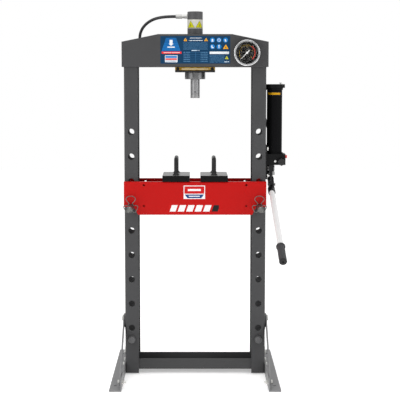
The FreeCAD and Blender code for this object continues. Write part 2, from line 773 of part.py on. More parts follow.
def hose_points():
    """Corners of the hose's centre line, from the cylinder to the pump."""
    runs = [(-cylinder_diameter / 2, port_z, hose_from_port), (post_outer_x, port_z, hose_over_post),
            (post_outer_x, block_top_z, hose_to_pump)]
    return [Vector(start_x + x, y, start_z + z) for start_x, start_z, offsets in runs
            for x, y, z in offsets]


def make_hose_ends():
    """Adapter, crimped end and elbow at each end of the hose."""
    port = Vector(-cylinder_diameter / 2, 0, port_z)
    route = hose_points()
    ferrule_end = route[0].x
    adapter = hexagon(port, -AXIS_X, 17.0, 12.0)
    nipple = hexagon(port - AXIS_X * 12.0, -AXIS_X, 15.0, 10.0)
    ferrule_start = port.x - 22.0
    ferrule = rod(Vector(ferrule_start, 0, port_z), -AXIS_X, 17.0, ferrule_start - ferrule_end)
    end = nipple.fuse(ferrule).removeSplitter()
    rear = pump_block_depth / 2
    foot = route[-1]
    elbow_z = pump_block_bottom_z + 18.0
    arm = rod(Vector(foot.x, rear, elbow_z), AXIS_Y, 14.0, foot.y - rear)
    riser = rod(Vector(foot.x, foot.y, elbow_z), AXIS_Z, 14.0, 12.0)
    corner = Part.makeSphere(8.0, Vector(foot.x, foot.y, elbow_z))
    nut_bottom = elbow_z + 12.0
    pump_nut = hexagon(Vector(foot.x, foot.y, nut_bottom), AXIS_Z, 15.0, 8.0)
    ferrule_bottom = nut_bottom + 8.0
    pump_ferrule = rod(Vector(foot.x, foot.y, ferrule_bottom), AXIS_Z, 17.0, foot.z - ferrule_bottom)
    pump_end = pump_nut.fuse(pump_ferrule).removeSplitter()
    return {"hose_adapters": [adapter, fused([arm, riser, corner])], "hose_ends": [end, pump_end]}


# ---- Bed ----


def make_bed_beam():
    """Front beam: a folded channel, web forward, notched over the pins."""
    front_y = -bed_depth / 2
    back_y = front_y + bed_flange
    half = bed_half_length
    outline = [(-bed_skirt_half, bed_bottom_z), (bed_skirt_half, bed_bottom_z),
               (hole_x - bed_notch_floor, pin_z), (half, pin_z), (half, bed_top_z),
               (-half, bed_top_z), (-half, pin_z), (-hole_x + bed_notch_floor, pin_z)]
    beam = plate(outline, "y", front_y, bed_wall)
    top = block(-half, half, front_y, back_y, bed_top_z - bed_wall, bed_top_z)
    bottom = block(-bed_skirt_half, bed_skirt_half, front_y, back_y,
                   bed_bottom_z, bed_bottom_z + bed_wall)
    beam = fused([beam, top, bottom])
    beam = round_edges(beam, bed_wall - 1.0, lambda middle, edge: abs(middle.y - front_y) < 0.01
                       and is_along(edge, AXIS_X) and abs(middle.x) < 1)
    for side in (-1, 1):
        notch = Vector(side * hole_x, front_y, pin_z)
        beam = bored(beam, notch, AXIS_Y, bed_pin_diameter + 2 * slide_gap, bed_wall)
        for z in bed_hole_zs():
            hole = Vector(side * bed_hole_span / 2, front_y, z)
            beam = bored(beam, hole, AXIS_Y, bed_hole_diameter, bed_wall)
    return beam


def bed_hole_zs():
    """Heights of the two rows of accessory holes."""
    top = bed_top_z - bed_hole_top_margin
    return (top, top - bed_hole_drop)


def make_bed_ribs():
    """Two upright plates welded between the beams, clear of the posts."""
    inner_y = bed_depth / 2 - bed_wall
    half = inner_y - (bed_flange - bed_wall)
    tall = [(-half, bed_bottom_z + 1), (half, bed_bottom_z + 1), (half, bed_bottom_z + bed_wall),
            (inner_y, bed_bottom_z + bed_wall), (inner_y, bed_top_z - bed_wall),
            (half, bed_top_z - bed_wall), (half, bed_top_z - 14), (-half, bed_top_z - 14),
            (-half, bed_top_z - bed_wall), (-inner_y, bed_top_z - bed_wall),
            (-inner_y, bed_bottom_z + bed_wall), (-half, bed_bottom_z + bed_wall)]
    return both_sides([plate(tall, "x", bed_rib_x, bed_wall)])


def make_bed_pin():
    """Right locating pin through the post, chamfered at both ends."""
    start_y = -post_half_depth - bed_pin_front
    length = bed_pin_front + post_depth + bed_pin_rear
    pin = rod(Vector(hole_x, start_y, pin_z), AXIS_Y, bed_pin_diameter, length)
    for size, end_y in ((bed_pin_nose, start_y), (bed_pin_nose / 2, start_y + length)):
        pin = pin.makeChamfer(size, [edge for edge in pin.Edges if len(edge.Vertexes) == 1
                                     and abs(edge.CenterOfMass.y - end_y) < 0.1])
    seat = tube(Vector(hole_x, clip_y() - pin_clip_wire / 2, pin_z), AXIS_Y,
                bed_pin_diameter + cut_over, bed_pin_diameter - 2.4, pin_clip_wire)
    return pin.cut(seat)


def clip_y():
    """The clip sits in a groove just ahead of the bed."""
    return -bed_depth / 2 - 14.0


def make_pin_clip():
    """Spring-wire clip: a thumb loop over the pin and a wing at each side, snapped into the
    pin's groove from both sides. Its corners are in units of the wrap radius."""
    wrap = bed_pin_diameter / 2 - 1.2 + pin_clip_wire / 2 + seat_gap

    def place(x, z):
        return Vector(hole_x + x * wrap, clip_y(), pin_z + z * wrap)

    right = [(0.2, -1.03), (1.32, -1.96), (2.56, 0.52), (0.86, 0.62), (0.4, 1.12), (1.72, 2.56),
             (0.88, 3.6)]
    left = [(-x, z) for x, z in reversed(right)]
    return bent_tube("pin_clip", [place(x, z) for x, z in right + left], pin_clip_wire)


def make_press_plate():
    """Right press plate: a solid block across both beams, edges broken."""
    x0 = press_plate_gap / 2
    half = press_plate_depth / 2
    slab = block(x0, x0 + press_plate_length, -half, half, bed_top_z, bed_top_z + press_plate_thickness)
    slab = round_edges(slab, 1.5, lambda middle, edge: True)
    for x in (x0 + 15, x0 + press_plate_length - 17):
        dimple = Vector(x, -half, bed_top_z + press_plate_thickness / 2)
        slab = slab.cut(rod(dimple - AXIS_Y * cut_over, AXIS_Y, 5.0, cut_over + 2.0))
    return slab


def make_press_handle():
    """Round bar bent into a lifting handle, welded to the plate at both ends."""
    x = press_plate_gap / 2 + press_plate_length / 2
    foot_z = bed_top_z + press_plate_thickness
    top_z = foot_z + press_handle_rise - press_handle_diameter / 2
    y = press_handle_half_span
    route = [Vector(x, -y, foot_z), Vector(x, -y, top_z), Vector(x, y, top_z), Vector(x, y, foot_z)]
    bar = bent_tube("press_handle", route, press_handle_diameter, bend_radius=14.0)
    radius = press_handle_diameter / 2
    welds = [Part.makeCone(radius + 7, radius, 9, Vector(x, side * y, foot_z)) for side in (-1, 1)]
    return fused([bar] + welds)


# ---- Pump ----


def make_pump_bracket():
    """Plate between the pump block and the right post."""
    bracket = block(post_outer_x, block_x, -pump_bracket_half, pump_bracket_half,
                    pump_bracket_bottom_z, pump_bracket_top_z)
    bracket = round_edges(bracket, 8.0, lambda middle, edge: is_along(edge, AXIS_X))
    for y, z, size in pump_bolt_places():
        bracket = bored(bracket, Vector(post_outer_x, y, z), AXIS_X, size + 2 * bolt_gap,
                        pump_bracket_thickness)
    return bracket


def make_pump_mount_bolts():
    """Four bolts through the bracket and the post's web."""
    bolts = []
    for y, z, size in pump_bolt_places():
        bolts += bolt_and_nut(Vector(block_x, y, z), -AXIS_X, size, pump_bracket_thickness + post_wall)
    return bolts


def knob_place():
    """Middle of the release valve on the block's front face."""
    return Vector(block_x + pump_block_width - 18.0, block_front_y, pump_block_bottom_z + 13.0)


def make_pump_block():
    """Valve block, bored for the release spindle."""
    body = block(block_x, block_x + pump_block_width, block_front_y, -block_front_y,
                 pump_block_bottom_z, block_top_z)
    body = round_edges(body, 3.0, lambda middle, edge: is_along(edge, AXIS_Z)
                       and middle.x > block_x + 1)
    return body.cut(rod(knob_place(), AXIS_Y, 8.0 + 2 * pin_gap, 26.0))


def make_release_valve():
    """Fluted release knob, its spindle and the gland nut the spindle turns in."""
    place = knob_place()
    gland_height = 5.0
    gland = bored(hexagon(place, -AXIS_Y, 15.0, gland_height), place - AXIS_Y * gland_height, AXIS_Y,
                  8.0 + 2 * pin_gap, gland_height)
    knob_back = place.y - gland_height - 2.0
    knob_height = 18.0
    spindle = rod(Vector(place.x, knob_back, place.z), AXIS_Y, 8.0, gland_height + 2.0 + 24.0)
    front = Vector(place.x, knob_back - knob_height, place.z)
    knob = rod(front, AXIS_Y, knob_diameter, knob_height)
    knob = round_edges(knob, 2.0, lambda middle, edge: middle.y < front.y + 0.1
                       and len(edge.Vertexes) == 1)
    flute_count = 8
    for step in range(flute_count):
        angle = 2 * math.pi * (step + 0.5) / flute_count
        reach = knob_diameter / 2 + 1.6
        flute = Vector(place.x + reach * math.cos(angle), front.y, place.z + reach * math.sin(angle))
        knob = bored(knob, flute, AXIS_Y, 7.0, knob_height)
    return gland, [spindle, knob]


def make_reservoir():
    """Oil reservoir on the block: tube with a foot ring open towards the bracket, skirted cap
    with a flat towards the post, and filler screw."""
    start = Vector(reservoir_x, 0, block_top_z)
    shell = tube(start, AXIS_Z, reservoir_diameter, reservoir_diameter - 2 * reservoir_wall,
                 reservoir_height)
    cap_bottom = block_top_z + reservoir_height
    place = Vector(reservoir_x, 0, cap_bottom)
    cap = rod(place, AXIS_Z, reservoir_cap_diameter, reservoir_cap_height)
    cap = round_edges(cap, 2.5, lambda middle, edge: middle.z > cap_bottom + 1
                      and len(edge.Vertexes) == 1)
    reach = reservoir_cap_diameter
    cap = cap.cut(block(post_outer_x - reach, post_outer_x + reservoir_cap_gap, -reach, reach,
                        cap_bottom - cut_over, cap_bottom + reservoir_cap_height + cut_over))
    skirt = tube(place - AXIS_Z * 8.0, AXIS_Z, reservoir_diameter + 6.0,
                 reservoir_diameter + 2 * seat_gap, 8.0)
    cap = cap.fuse(skirt).removeSplitter()
    filler_place = place + Vector(25.5, 0, reservoir_cap_height)
    filler = hexagon(filler_place, AXIS_Z, 11.0, 7.0)
    flange = tube(start, AXIS_Z, reservoir_diameter + 8.0, reservoir_diameter + 2 * seat_gap, 5.0)
    flange = flange.cut(block(block_x - reach, reservoir_x - 26.0, -reach, reach,
                              block_top_z - cut_over, block_top_z + 5.0 + cut_over))
    return {"pump_reservoir": [shell, flange], "reservoir_cap": [cap], "filler_screw": [filler]}


def make_valve_plugs():
    """Red relief cap on the block's side and a pale test plug on its front."""
    side = Vector(block_x + pump_block_width, -18.0, pump_block_bottom_z + 33.0)
    relief = rod(side, AXIS_X, 13.0, 7.0)
    relief = round_edges(relief, 1.5, lambda middle, edge: middle.x > side.x + 6)
    plug_place = Vector(lever_x + 15.0, block_front_y, pump_block_bottom_z + 15.0)
    plug = rod(plug_place, -AXIS_Y, 9.0, 3.0)
    plug = plug.cut(hexagon(plug_place - AXIS_Y * 4.0, AXIS_Y, 4.0, 2.5))
    return relief, plug


def make_block_fittings():
    """What is screwed into the valve block."""
    gland, release = make_release_valve()
    relief, plug = make_valve_plugs()
    return {"release_knob": release, "relief_valve_cap": [relief], "block_fittings": [gland, plug]}


def lever_direction(angle):
    """Unit vector in the lever's plane: forward, at an angle above level."""
    turn = math.radians(angle)
    return Vector(0, -math.cos(turn), math.sin(turn))


def plunger_pin_z():
    """Height of the plunger's cross pin at rest, half the sweep above the fulcrum."""
    arm = plunger_y - fulcrum_y
    return fulcrum_z + arm * math.tan(math.radians(lever_sweep / 2))


def make_plunger():
    """Barrel under the block, the plunger in it, and the cross pin through its tongue."""
    bottom = pump_block_bottom_z - barrel_length
    place = Vector(lever_x, plunger_y, bottom)
    barrel = tube(place, AXIS_Z, barrel_diameter, plunger_diameter + 2 * pin_gap, barrel_length)
    gland = tube(place, AXIS_Z, barrel_diameter + 3.0, barrel_diameter + 2 * seat_gap, 12.0)
    pin_z_rest = plunger_pin_z()
    tongue_half = 5.0
    eye_radius = 8.0
    top = pump_block_bottom_z - 1.0
    plunger = rod(Vector(lever_x, plunger_y, pin_z_rest - eye_radius), AXIS_Z, plunger_diameter,
                  top - pin_z_rest + eye_radius)
    for side in (-1, 1):
        x0, x1 = sorted((lever_x + side * tongue_half, lever_x + side * plunger_diameter))
        plunger = plunger.cut(block(x0, x1, plunger_y - plunger_diameter, plunger_y + plunger_diameter,
                                    pin_z_rest - 2 * eye_radius, pin_z_rest + 17.0))
    pin_place = Vector(lever_x - 14.0, plunger_y, pin_z_rest)
    plunger = bored(plunger, pin_place, AXIS_X, lever_pin_size + 2 * pin_gap, 28.0)
    cross_pin = rod(pin_place, AXIS_X, lever_pin_size, 28.0)
    return {"plunger_barrel": [barrel, gland], "pump_plunger": [plunger, cross_pin]}


def make_fulcrum():
    """Two lugs under the block, the black fulcrum link bolted between them, and its pin."""
    link_half = link_thickness / 2
    lug_out = link_half + link_lug_thickness
    lug_bottom = pump_block_bottom_z - link_lug_height
    lugs = []
    for side in (-1, 1):
        x0, x1 = sorted((lever_x + side * (link_half + seat_gap), lever_x + side * lug_out))
        lugs.append(block(x0, x1, fulcrum_y - 9, fulcrum_y + 9, lug_bottom, pump_block_bottom_z))
    link = block(lever_x - link_half, lever_x + link_half, fulcrum_y - 6, fulcrum_y + 6,
                 fulcrum_z, pump_block_bottom_z - 1)
    eye_start = Vector(lever_x - link_half, fulcrum_y, fulcrum_z)
    link = link.fuse(rod(eye_start, AXIS_X, 2 * lever_pin_size, link_thickness)).removeSplitter()
    link = bored(link, eye_start, AXIS_X, lever_pin_size + 2 * pin_gap, link_thickness)
    bolts = []
    for drop in (8.5, 19.5):
        start = Vector(lever_x - 20.0, fulcrum_y, pump_block_bottom_z - drop)
        link, *lugs = [bored(piece, start, AXIS_X, link_bolt_size + 2 * seat_gap, 40.0)
                       for piece in [link] + lugs]
        face = Vector(lever_x + lug_out, fulcrum_y, pump_block_bottom_z - drop)
        bolts += bolt_and_nut(face, -AXIS_X, link_bolt_size, 2 * lug_out)
    pin_half = 14.0
    pin = rod(Vector(lever_x - pin_half, fulcrum_y, fulcrum_z), AXIS_X, lever_pin_size, 2 * pin_half)
    head = rod(Vector(lever_x + pin_half, fulcrum_y, fulcrum_z), AXIS_X, 13.0, 2.5)
    bolts.append(pin.fuse(head).removeSplitter())
    return {"fulcrum_link": [link] + lugs, "fulcrum_pins": bolts}


def socket_mouth():
    """Front end of the socket, where the handle leaves it: below and ahead of the pin."""
    forward = lever_direction(-handle_droop)
    below = AXIS_X.cross(forward)
    pin = Vector(lever_x, fulcrum_y, fulcrum_z)
    return pin + below * socket_drop + forward * (socket_reach + socket_length)


def lever_bar(start, end, diameter, x0, thickness):
    """Flat bar with round ends in the lever's plane."""
    run = end - start
    across = run.cross(AXIS_X).normalize() * (diameter / 2)
    shift = Vector(x0, 0, 0)
    flat_start = Vector(0, start.y, start.z) + shift
    flat_end = Vector(0, end.y, end.z) + shift
    corners = [flat_start + across, flat_end + across, flat_end - across, flat_start - across]
    bar = Part.Face(Part.makePolygon(corners + corners[:1])).extrude(AXIS_X * thickness)
    ends = [rod(place, AXIS_X, diameter, thickness) for place in (flat_start, flat_end)]
    return fused([bar] + ends)


def make_lever():
    """Forked lever: a socket for the handle, two cheeks beside the link, slotted at the
    back for the plunger's cross pin."""
    forward = lever_direction(-handle_droop)
    mouth = socket_mouth()
    heel = mouth - forward * socket_length
    pin = Vector(lever_x, fulcrum_y, fulcrum_z)
    arm = plunger_y - fulcrum_y
    half_sweep = math.radians(lever_sweep / 2)
    rear = Vector(0, math.cos(half_sweep), math.sin(half_sweep))
    slot_near = pin + rear * arm
    slot_far = pin + rear * (arm / math.cos(half_sweep))
    slot_width = lever_pin_size + 2 * lever_slot_gap
    cheek_in = link_thickness / 2 + slide_gap
    cheek_out = 11.5
    parts = [rod(heel, forward, socket_diameter, socket_length)]
    for side in (-1, 1):
        x0 = lever_x + (cheek_in if side > 0 else -cheek_out)
        thickness = cheek_out - cheek_in
        parts.append(lever_bar(pin, slot_far, 19.0, x0, thickness))
        parts.append(lever_bar(pin, heel + forward * 8.0, 19.0, x0, thickness))
    lever = fused(parts)
    lever = lever.cut(rod(heel + forward * 4.0, forward, handle_diameter + 2 * seat_gap, socket_length))
    lever = bored(lever, pin - AXIS_X * 20, AXIS_X, lever_pin_size + 2 * pin_gap, 40)
    slot = lever_bar(slot_near, slot_far, slot_width, lever_x - 20, 40)
    lever = lever.cut(slot)
    return lever.cut(rod(pin - AXIS_X * cheek_in, AXIS_X, 19.0 + slide_gap, 2 * cheek_in))


def make_handle():
    """Plated handle tube in the socket, and the rubber grip with its collar."""
    forward = lever_direction(-handle_droop)
    start = socket_mouth() - forward * (socket_length - 5.0)
    bar = tube(start, forward, handle_diameter, handle_diameter - 4.0, handle_length)
    grip_start = start + forward * (handle_length + 3.0 - grip_length)
    grip = rod(grip_start, forward, grip_diameter, grip_length)
    collar = rod(grip_start, forward, grip_diameter + 5.0, 5.0)
    grip = grip.fuse(collar).removeSplitter()
    grip = grip.cut(rod(grip_start - forward, forward, handle_diameter + 2 * seat_gap, grip_length - 2.0))
    grip = bored(grip, grip_start + forward * (grip_length - 4.0), forward, 8.0, 4.0)
    grip = round_edges(grip, 1.2, lambda middle, edge: len(edge.Vertexes) == 1
                       and edge.Length > math.pi * (grip_diameter - 1))
    return {"pump_handle": [bar], "handle_grip": [grip]}


# ---- Build every node ----


def build_nodes():
    """Every piece of the press, by node name."""
    post = make_post()
    beam = make_bed_beam()
    pin = make_bed_pin()
    clip = make_pin_clip()
    foot = make_foot()
    braces = [make_brace(side) for side in (-1, 1)]
    press_plate = make_press_plate()
    press_handle = make_press_handle()
    nodes = {
        "right_post": [post],
        "left_post": [mirrored(post)],
        "head_front_plate": [make_head_front()],
        "head_rear_plate": [make_head_rear()],
        "head_end_plates": both_sides([make_head_end()]),
        "head_bolster": [make_bolster()],
        "bed_stop_studs": make_stop_studs(),
        "lower_cross_member": [make_tie()],
        "right_foot": [foot],
        "left_foot": [mirrored(foot)],
        "brace_brackets": both_sides([make_brace_bracket()]),
        "right_braces": braces,
        "left_braces": [mirrored(brace) for brace in braces],
        "frame_bolts": make_frame_bolts(),
        "ram_cylinder": [make_cylinder(), make_cylinder_cap()],
        "cylinder_flange": [make_flange()],
        "flange_bolts": make_flange_bolts(),
        "flange_strap": [make_flange_strap()],
        "strap_screws": make_strap_screws(),
        "lock_nut": [make_lock_nut()],
        "ram_rod": [make_ram_rod()],
        "ram_piston": [make_piston(), make_piston_seal()],
        "ram_tip": [make_ram_tip()],
        "return_spring": [make_return_spring()],
        "hydraulic_hose": [bent_tube("hydraulic_hose", hose_points(), hose_diameter)],
        "bed_front_beam": [beam],
        "bed_rear_beam": [beam.mirror(Vector(0, 0, 0), AXIS_Y)],
        "bed_ribs": make_bed_ribs(),
        "right_bed_pin": [pin, clip],
        "left_bed_pin": [mirrored(pin), mirrored(clip)],
        "right_press_plate": [press_plate],
        "left_press_plate": [mirrored(press_plate)],
        "right_plate_handle": [press_handle],
        "left_plate_handle": [mirrored(press_handle)],
        "pump_bracket": [make_pump_bracket()],
        "pump_mount_bolts": make_pump_mount_bolts(),
        "pump_block": [make_pump_block()],
        "pump_lever": [make_lever()],
    }
    groups = [make_gauge(), make_hose_ends(), make_block_fittings(), make_reservoir(),
              make_plunger(), make_fulcrum(), make_handle()]
    for group in groups:
        nodes.update(group)
    return nodes


for node_name, solids in sorted(build_nodes().items()):
    whole = solids[0] if len(solids) == 1 else Part.makeCompound(solids)
    whole.exportStep(f"parts/{node_name}.step")
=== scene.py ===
import math

import bmesh
import bpy
from mathutils import Matrix, Vector


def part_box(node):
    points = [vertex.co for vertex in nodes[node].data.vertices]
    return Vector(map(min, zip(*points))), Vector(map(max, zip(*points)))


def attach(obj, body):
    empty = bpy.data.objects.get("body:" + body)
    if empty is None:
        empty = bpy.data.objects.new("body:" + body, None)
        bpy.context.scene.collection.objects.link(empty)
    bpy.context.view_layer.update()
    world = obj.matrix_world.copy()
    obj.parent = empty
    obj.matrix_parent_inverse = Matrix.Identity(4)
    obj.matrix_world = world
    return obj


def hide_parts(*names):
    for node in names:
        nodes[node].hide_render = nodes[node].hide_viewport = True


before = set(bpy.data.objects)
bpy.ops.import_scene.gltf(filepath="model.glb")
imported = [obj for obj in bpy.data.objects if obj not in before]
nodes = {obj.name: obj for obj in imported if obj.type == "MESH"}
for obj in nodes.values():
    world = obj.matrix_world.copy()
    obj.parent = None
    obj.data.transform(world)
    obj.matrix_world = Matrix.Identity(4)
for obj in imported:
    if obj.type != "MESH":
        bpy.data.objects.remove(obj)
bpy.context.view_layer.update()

# ---- Gantry posts, head and lower cross member ----
# Folded and welded steel channels and plates, shot blasted and baked with a grey
# powder paint. The paint has a fine orange peel, faint clouding and lies dull.


class Field:
    """A number or colour on its way through a finish, so that a pattern reads as a sum."""

    def __init__(self, finish, socket):
        self.finish = finish
        self.socket = socket

    def maths(self, operation, *values):
        """Any other operation, on the values given here."""
        return self.finish.add("ShaderNodeMath", {"operation": operation}, dict(enumerate(values)))

    def __add__(self, other):
        return self.maths("ADD", self, other)

    __radd__ = __add__

    def __sub__(self, other):
        return self.maths("SUBTRACT", self, other)

    def __rsub__(self, other):
        return self.maths("SUBTRACT", other, self)

    def __mul__(self, other):
        return self.maths("MULTIPLY", self, other)

    __rmul__ = __mul__

    def __truediv__(self, other):
        return self.maths("DIVIDE", self, other)

    def __gt__(self, other):
        return self.maths("GREATER_THAN", self, other)

    def __lt__(self, other):
        return self.maths("LESS_THAN", self, other)

    def __abs__(self):
        return self.maths("ABSOLUTE", self)


class Finish:
    """One surface finish: a material whose nodes the calls below lay down."""

    def __init__(self, name):
        self.material = bpy.data.materials.new(name)
        self.material.use_nodes = True
        self.tree = self.material.node_tree
        self.tree.nodes.clear()
        self.place = self.add("ShaderNodeTexCoord", output="Object")

    def add(self, kind, settings=None, sockets=None, output=0):
        """Any node: its settings first, then the values or links of its sockets."""
        node = self.tree.nodes.new(kind)
        for name, value in (settings or {}).items():
            if name == "stops":
                ramp = node.color_ramp.elements
                ramp.remove(ramp[1])
                ramp[0].position, ramp[0].color = value[0]
                for position, colour in value[1:]:
                    ramp.new(position).color = colour
            else:
                setattr(node, name, value)
        for name, value in (sockets or {}).items():
            if isinstance(value, Field):
                self.tree.links.new(value.socket, node.inputs[name])
            else:
                node.inputs[name].default_value = value
        return Field(self, node.outputs[output])

    def axes(self):
        """The three coordinates of a point, in metres."""
        split = self.add("ShaderNodeSeparateXYZ", None, {0: self.place})
        return [Field(self, socket) for socket in split.socket.node.outputs]

    def noise(self, scale, detail=2.0, stretch=(1, 1, 1), roughness=0.5):
        """Cloudy noise from 0 to 1, drawn out along the axes whose stretch is small."""
        place = self.place
        if stretch != (1, 1, 1):
            place = self.add("ShaderNodeVectorMath", {"operation": "MULTIPLY"}, {0: place, 1: stretch})
        return self.add("ShaderNodeTexNoise", None,
                        {"Vector": place, "Scale": scale, "Detail": detail, "Roughness": roughness})

    def mix(self, share, first, second):
        """From the first colour to the second as the share goes from 0 to 1."""
        return self.add("ShaderNodeMix", {"data_type": "RGBA"}, {0: share, 6: first, 7: second}, 2)

    def ramp(self, value, *stops):
        """A colour for each part of the way from 0 to 1."""
        return self.add("ShaderNodeValToRGB", {"stops": stops}, {0: value})

    def surface(self, colour, roughness, relief=None, depth=0.0, **others):
        """The shader itself. Relief is a height from 0 to 1, and depth its size in metres."""
        sockets = {"Base Color": colour, "Roughness": roughness}
        sockets.update({name.replace("_", " "): value for name, value in others.items()})
        if relief is not None:
            sockets["Normal"] = self.add("ShaderNodeBump", None,
                                         {"Strength": 1.0, "Distance": depth, "Height": relief})
        shader = self.add("ShaderNodeBsdfPrincipled", None, sockets)
        output = self.tree.nodes.new("ShaderNodeOutputMaterial")
        self.tree.links.new(shader.socket, output.inputs["Surface"])
        return self.material


def paint_chip(red, green, blue):
    """A colour from a paint chart, as the linear values that a shader takes."""
    return (*[(part / 255.0) ** 2.2 for part in (red, green, blue)], 1.0)


def shade(colour, level):
    """The same colour, lighter or darker."""
    return (*[part * level for part in colour[:3]], 1.0)


def powder_coat(name, colour, roughness, gloss=0.5, cloud=0.16):
    """Baked powder paint: clouding in the tone, orange peel in the relief."""
    finish = Finish(name)
    clouds = finish.noise(7.0, 4.0)
    peel = finish.noise(520.0, 2.0)
    tone = finish.mix(clouds, shade(colour, 1 - cloud), shade(colour, 1 + cloud))
    rough = clouds * 0.10 + (peel * 0.06 + (roughness - 0.08))
    return finish.surface(tone, rough, peel, 0.00006, Specular_IOR_Level=gloss)


def dress(material, *names):
    """Give CAD nodes a finish."""
    for name in names:
        slots = nodes[name].data.materials
        slots.clear()
        slots.append(material)


frame_grey = powder_coat("frame_grey_powder_coat", paint_chip(65, 65, 66), 0.52, 0.25)
dress(frame_grey, "left_post", "right_post", "head_front_plate", "head_rear_plate", "head_end_plates",
      "head_bolster", "lower_cross_member", "brace_brackets")

# the studs carry the frame's grey paint, painted lighter here as painted light on them
stud_lit_grey = powder_coat("stop_stud_lit_grey_powder_coat", paint_chip(86, 86, 87), 0.42, 0.3)
dress(stud_lit_grey, "bed_stop_studs")

# ---- Printed film on the head ----
# A thin blue polyester film, 278 by 109 mm, stuck to the front plate. Its print is
# plain marks only: panels, discs, triangles, rules and bars, with no lettering.


def in_scene(name, data):
    """A new object of the scene for a mesh, curve, lamp or camera."""
    thing = bpy.data.objects.new(name, data)
    bpy.context.scene.collection.objects.link(thing)
    return thing


def piece_from(shape, name, body, *materials):
    """A visible piece with the faces of a finished shape, on the body that it rides."""
    mesh = bpy.data.meshes.new(name)
    shape.to_mesh(mesh)
    shape.free()
    for material in materials:
        mesh.materials.append(material)
    piece = in_scene(name, mesh)
    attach(piece, body)
    return piece


def slab(name, lowest, highest, material, body):
    """A thin film between two corners, with its edges just broken."""
    shape = bmesh.new()
    bmesh.ops.create_cube(shape, size=1.0)
    low, high = Vector(lowest), Vector(highest)
    for vertex in shape.verts:
        vertex.co = Vector((low[i] + (vertex.co[i] + 0.5) * (high[i] - low[i]) for i in range(3)))
    bmesh.ops.bevel(shape, geom=shape.edges[:], offset=min(high - low) * 0.3, segments=2, affect="EDGES")
    piece_from(shape, name, body, material)


def inside(value, low, high):
    """1 where a value lies between two limits."""
    return (value > low) * (value < high)


film_corner = Vector((-0.138, 0.0, 1.265))
film_width, film_height = 0.278, 0.109


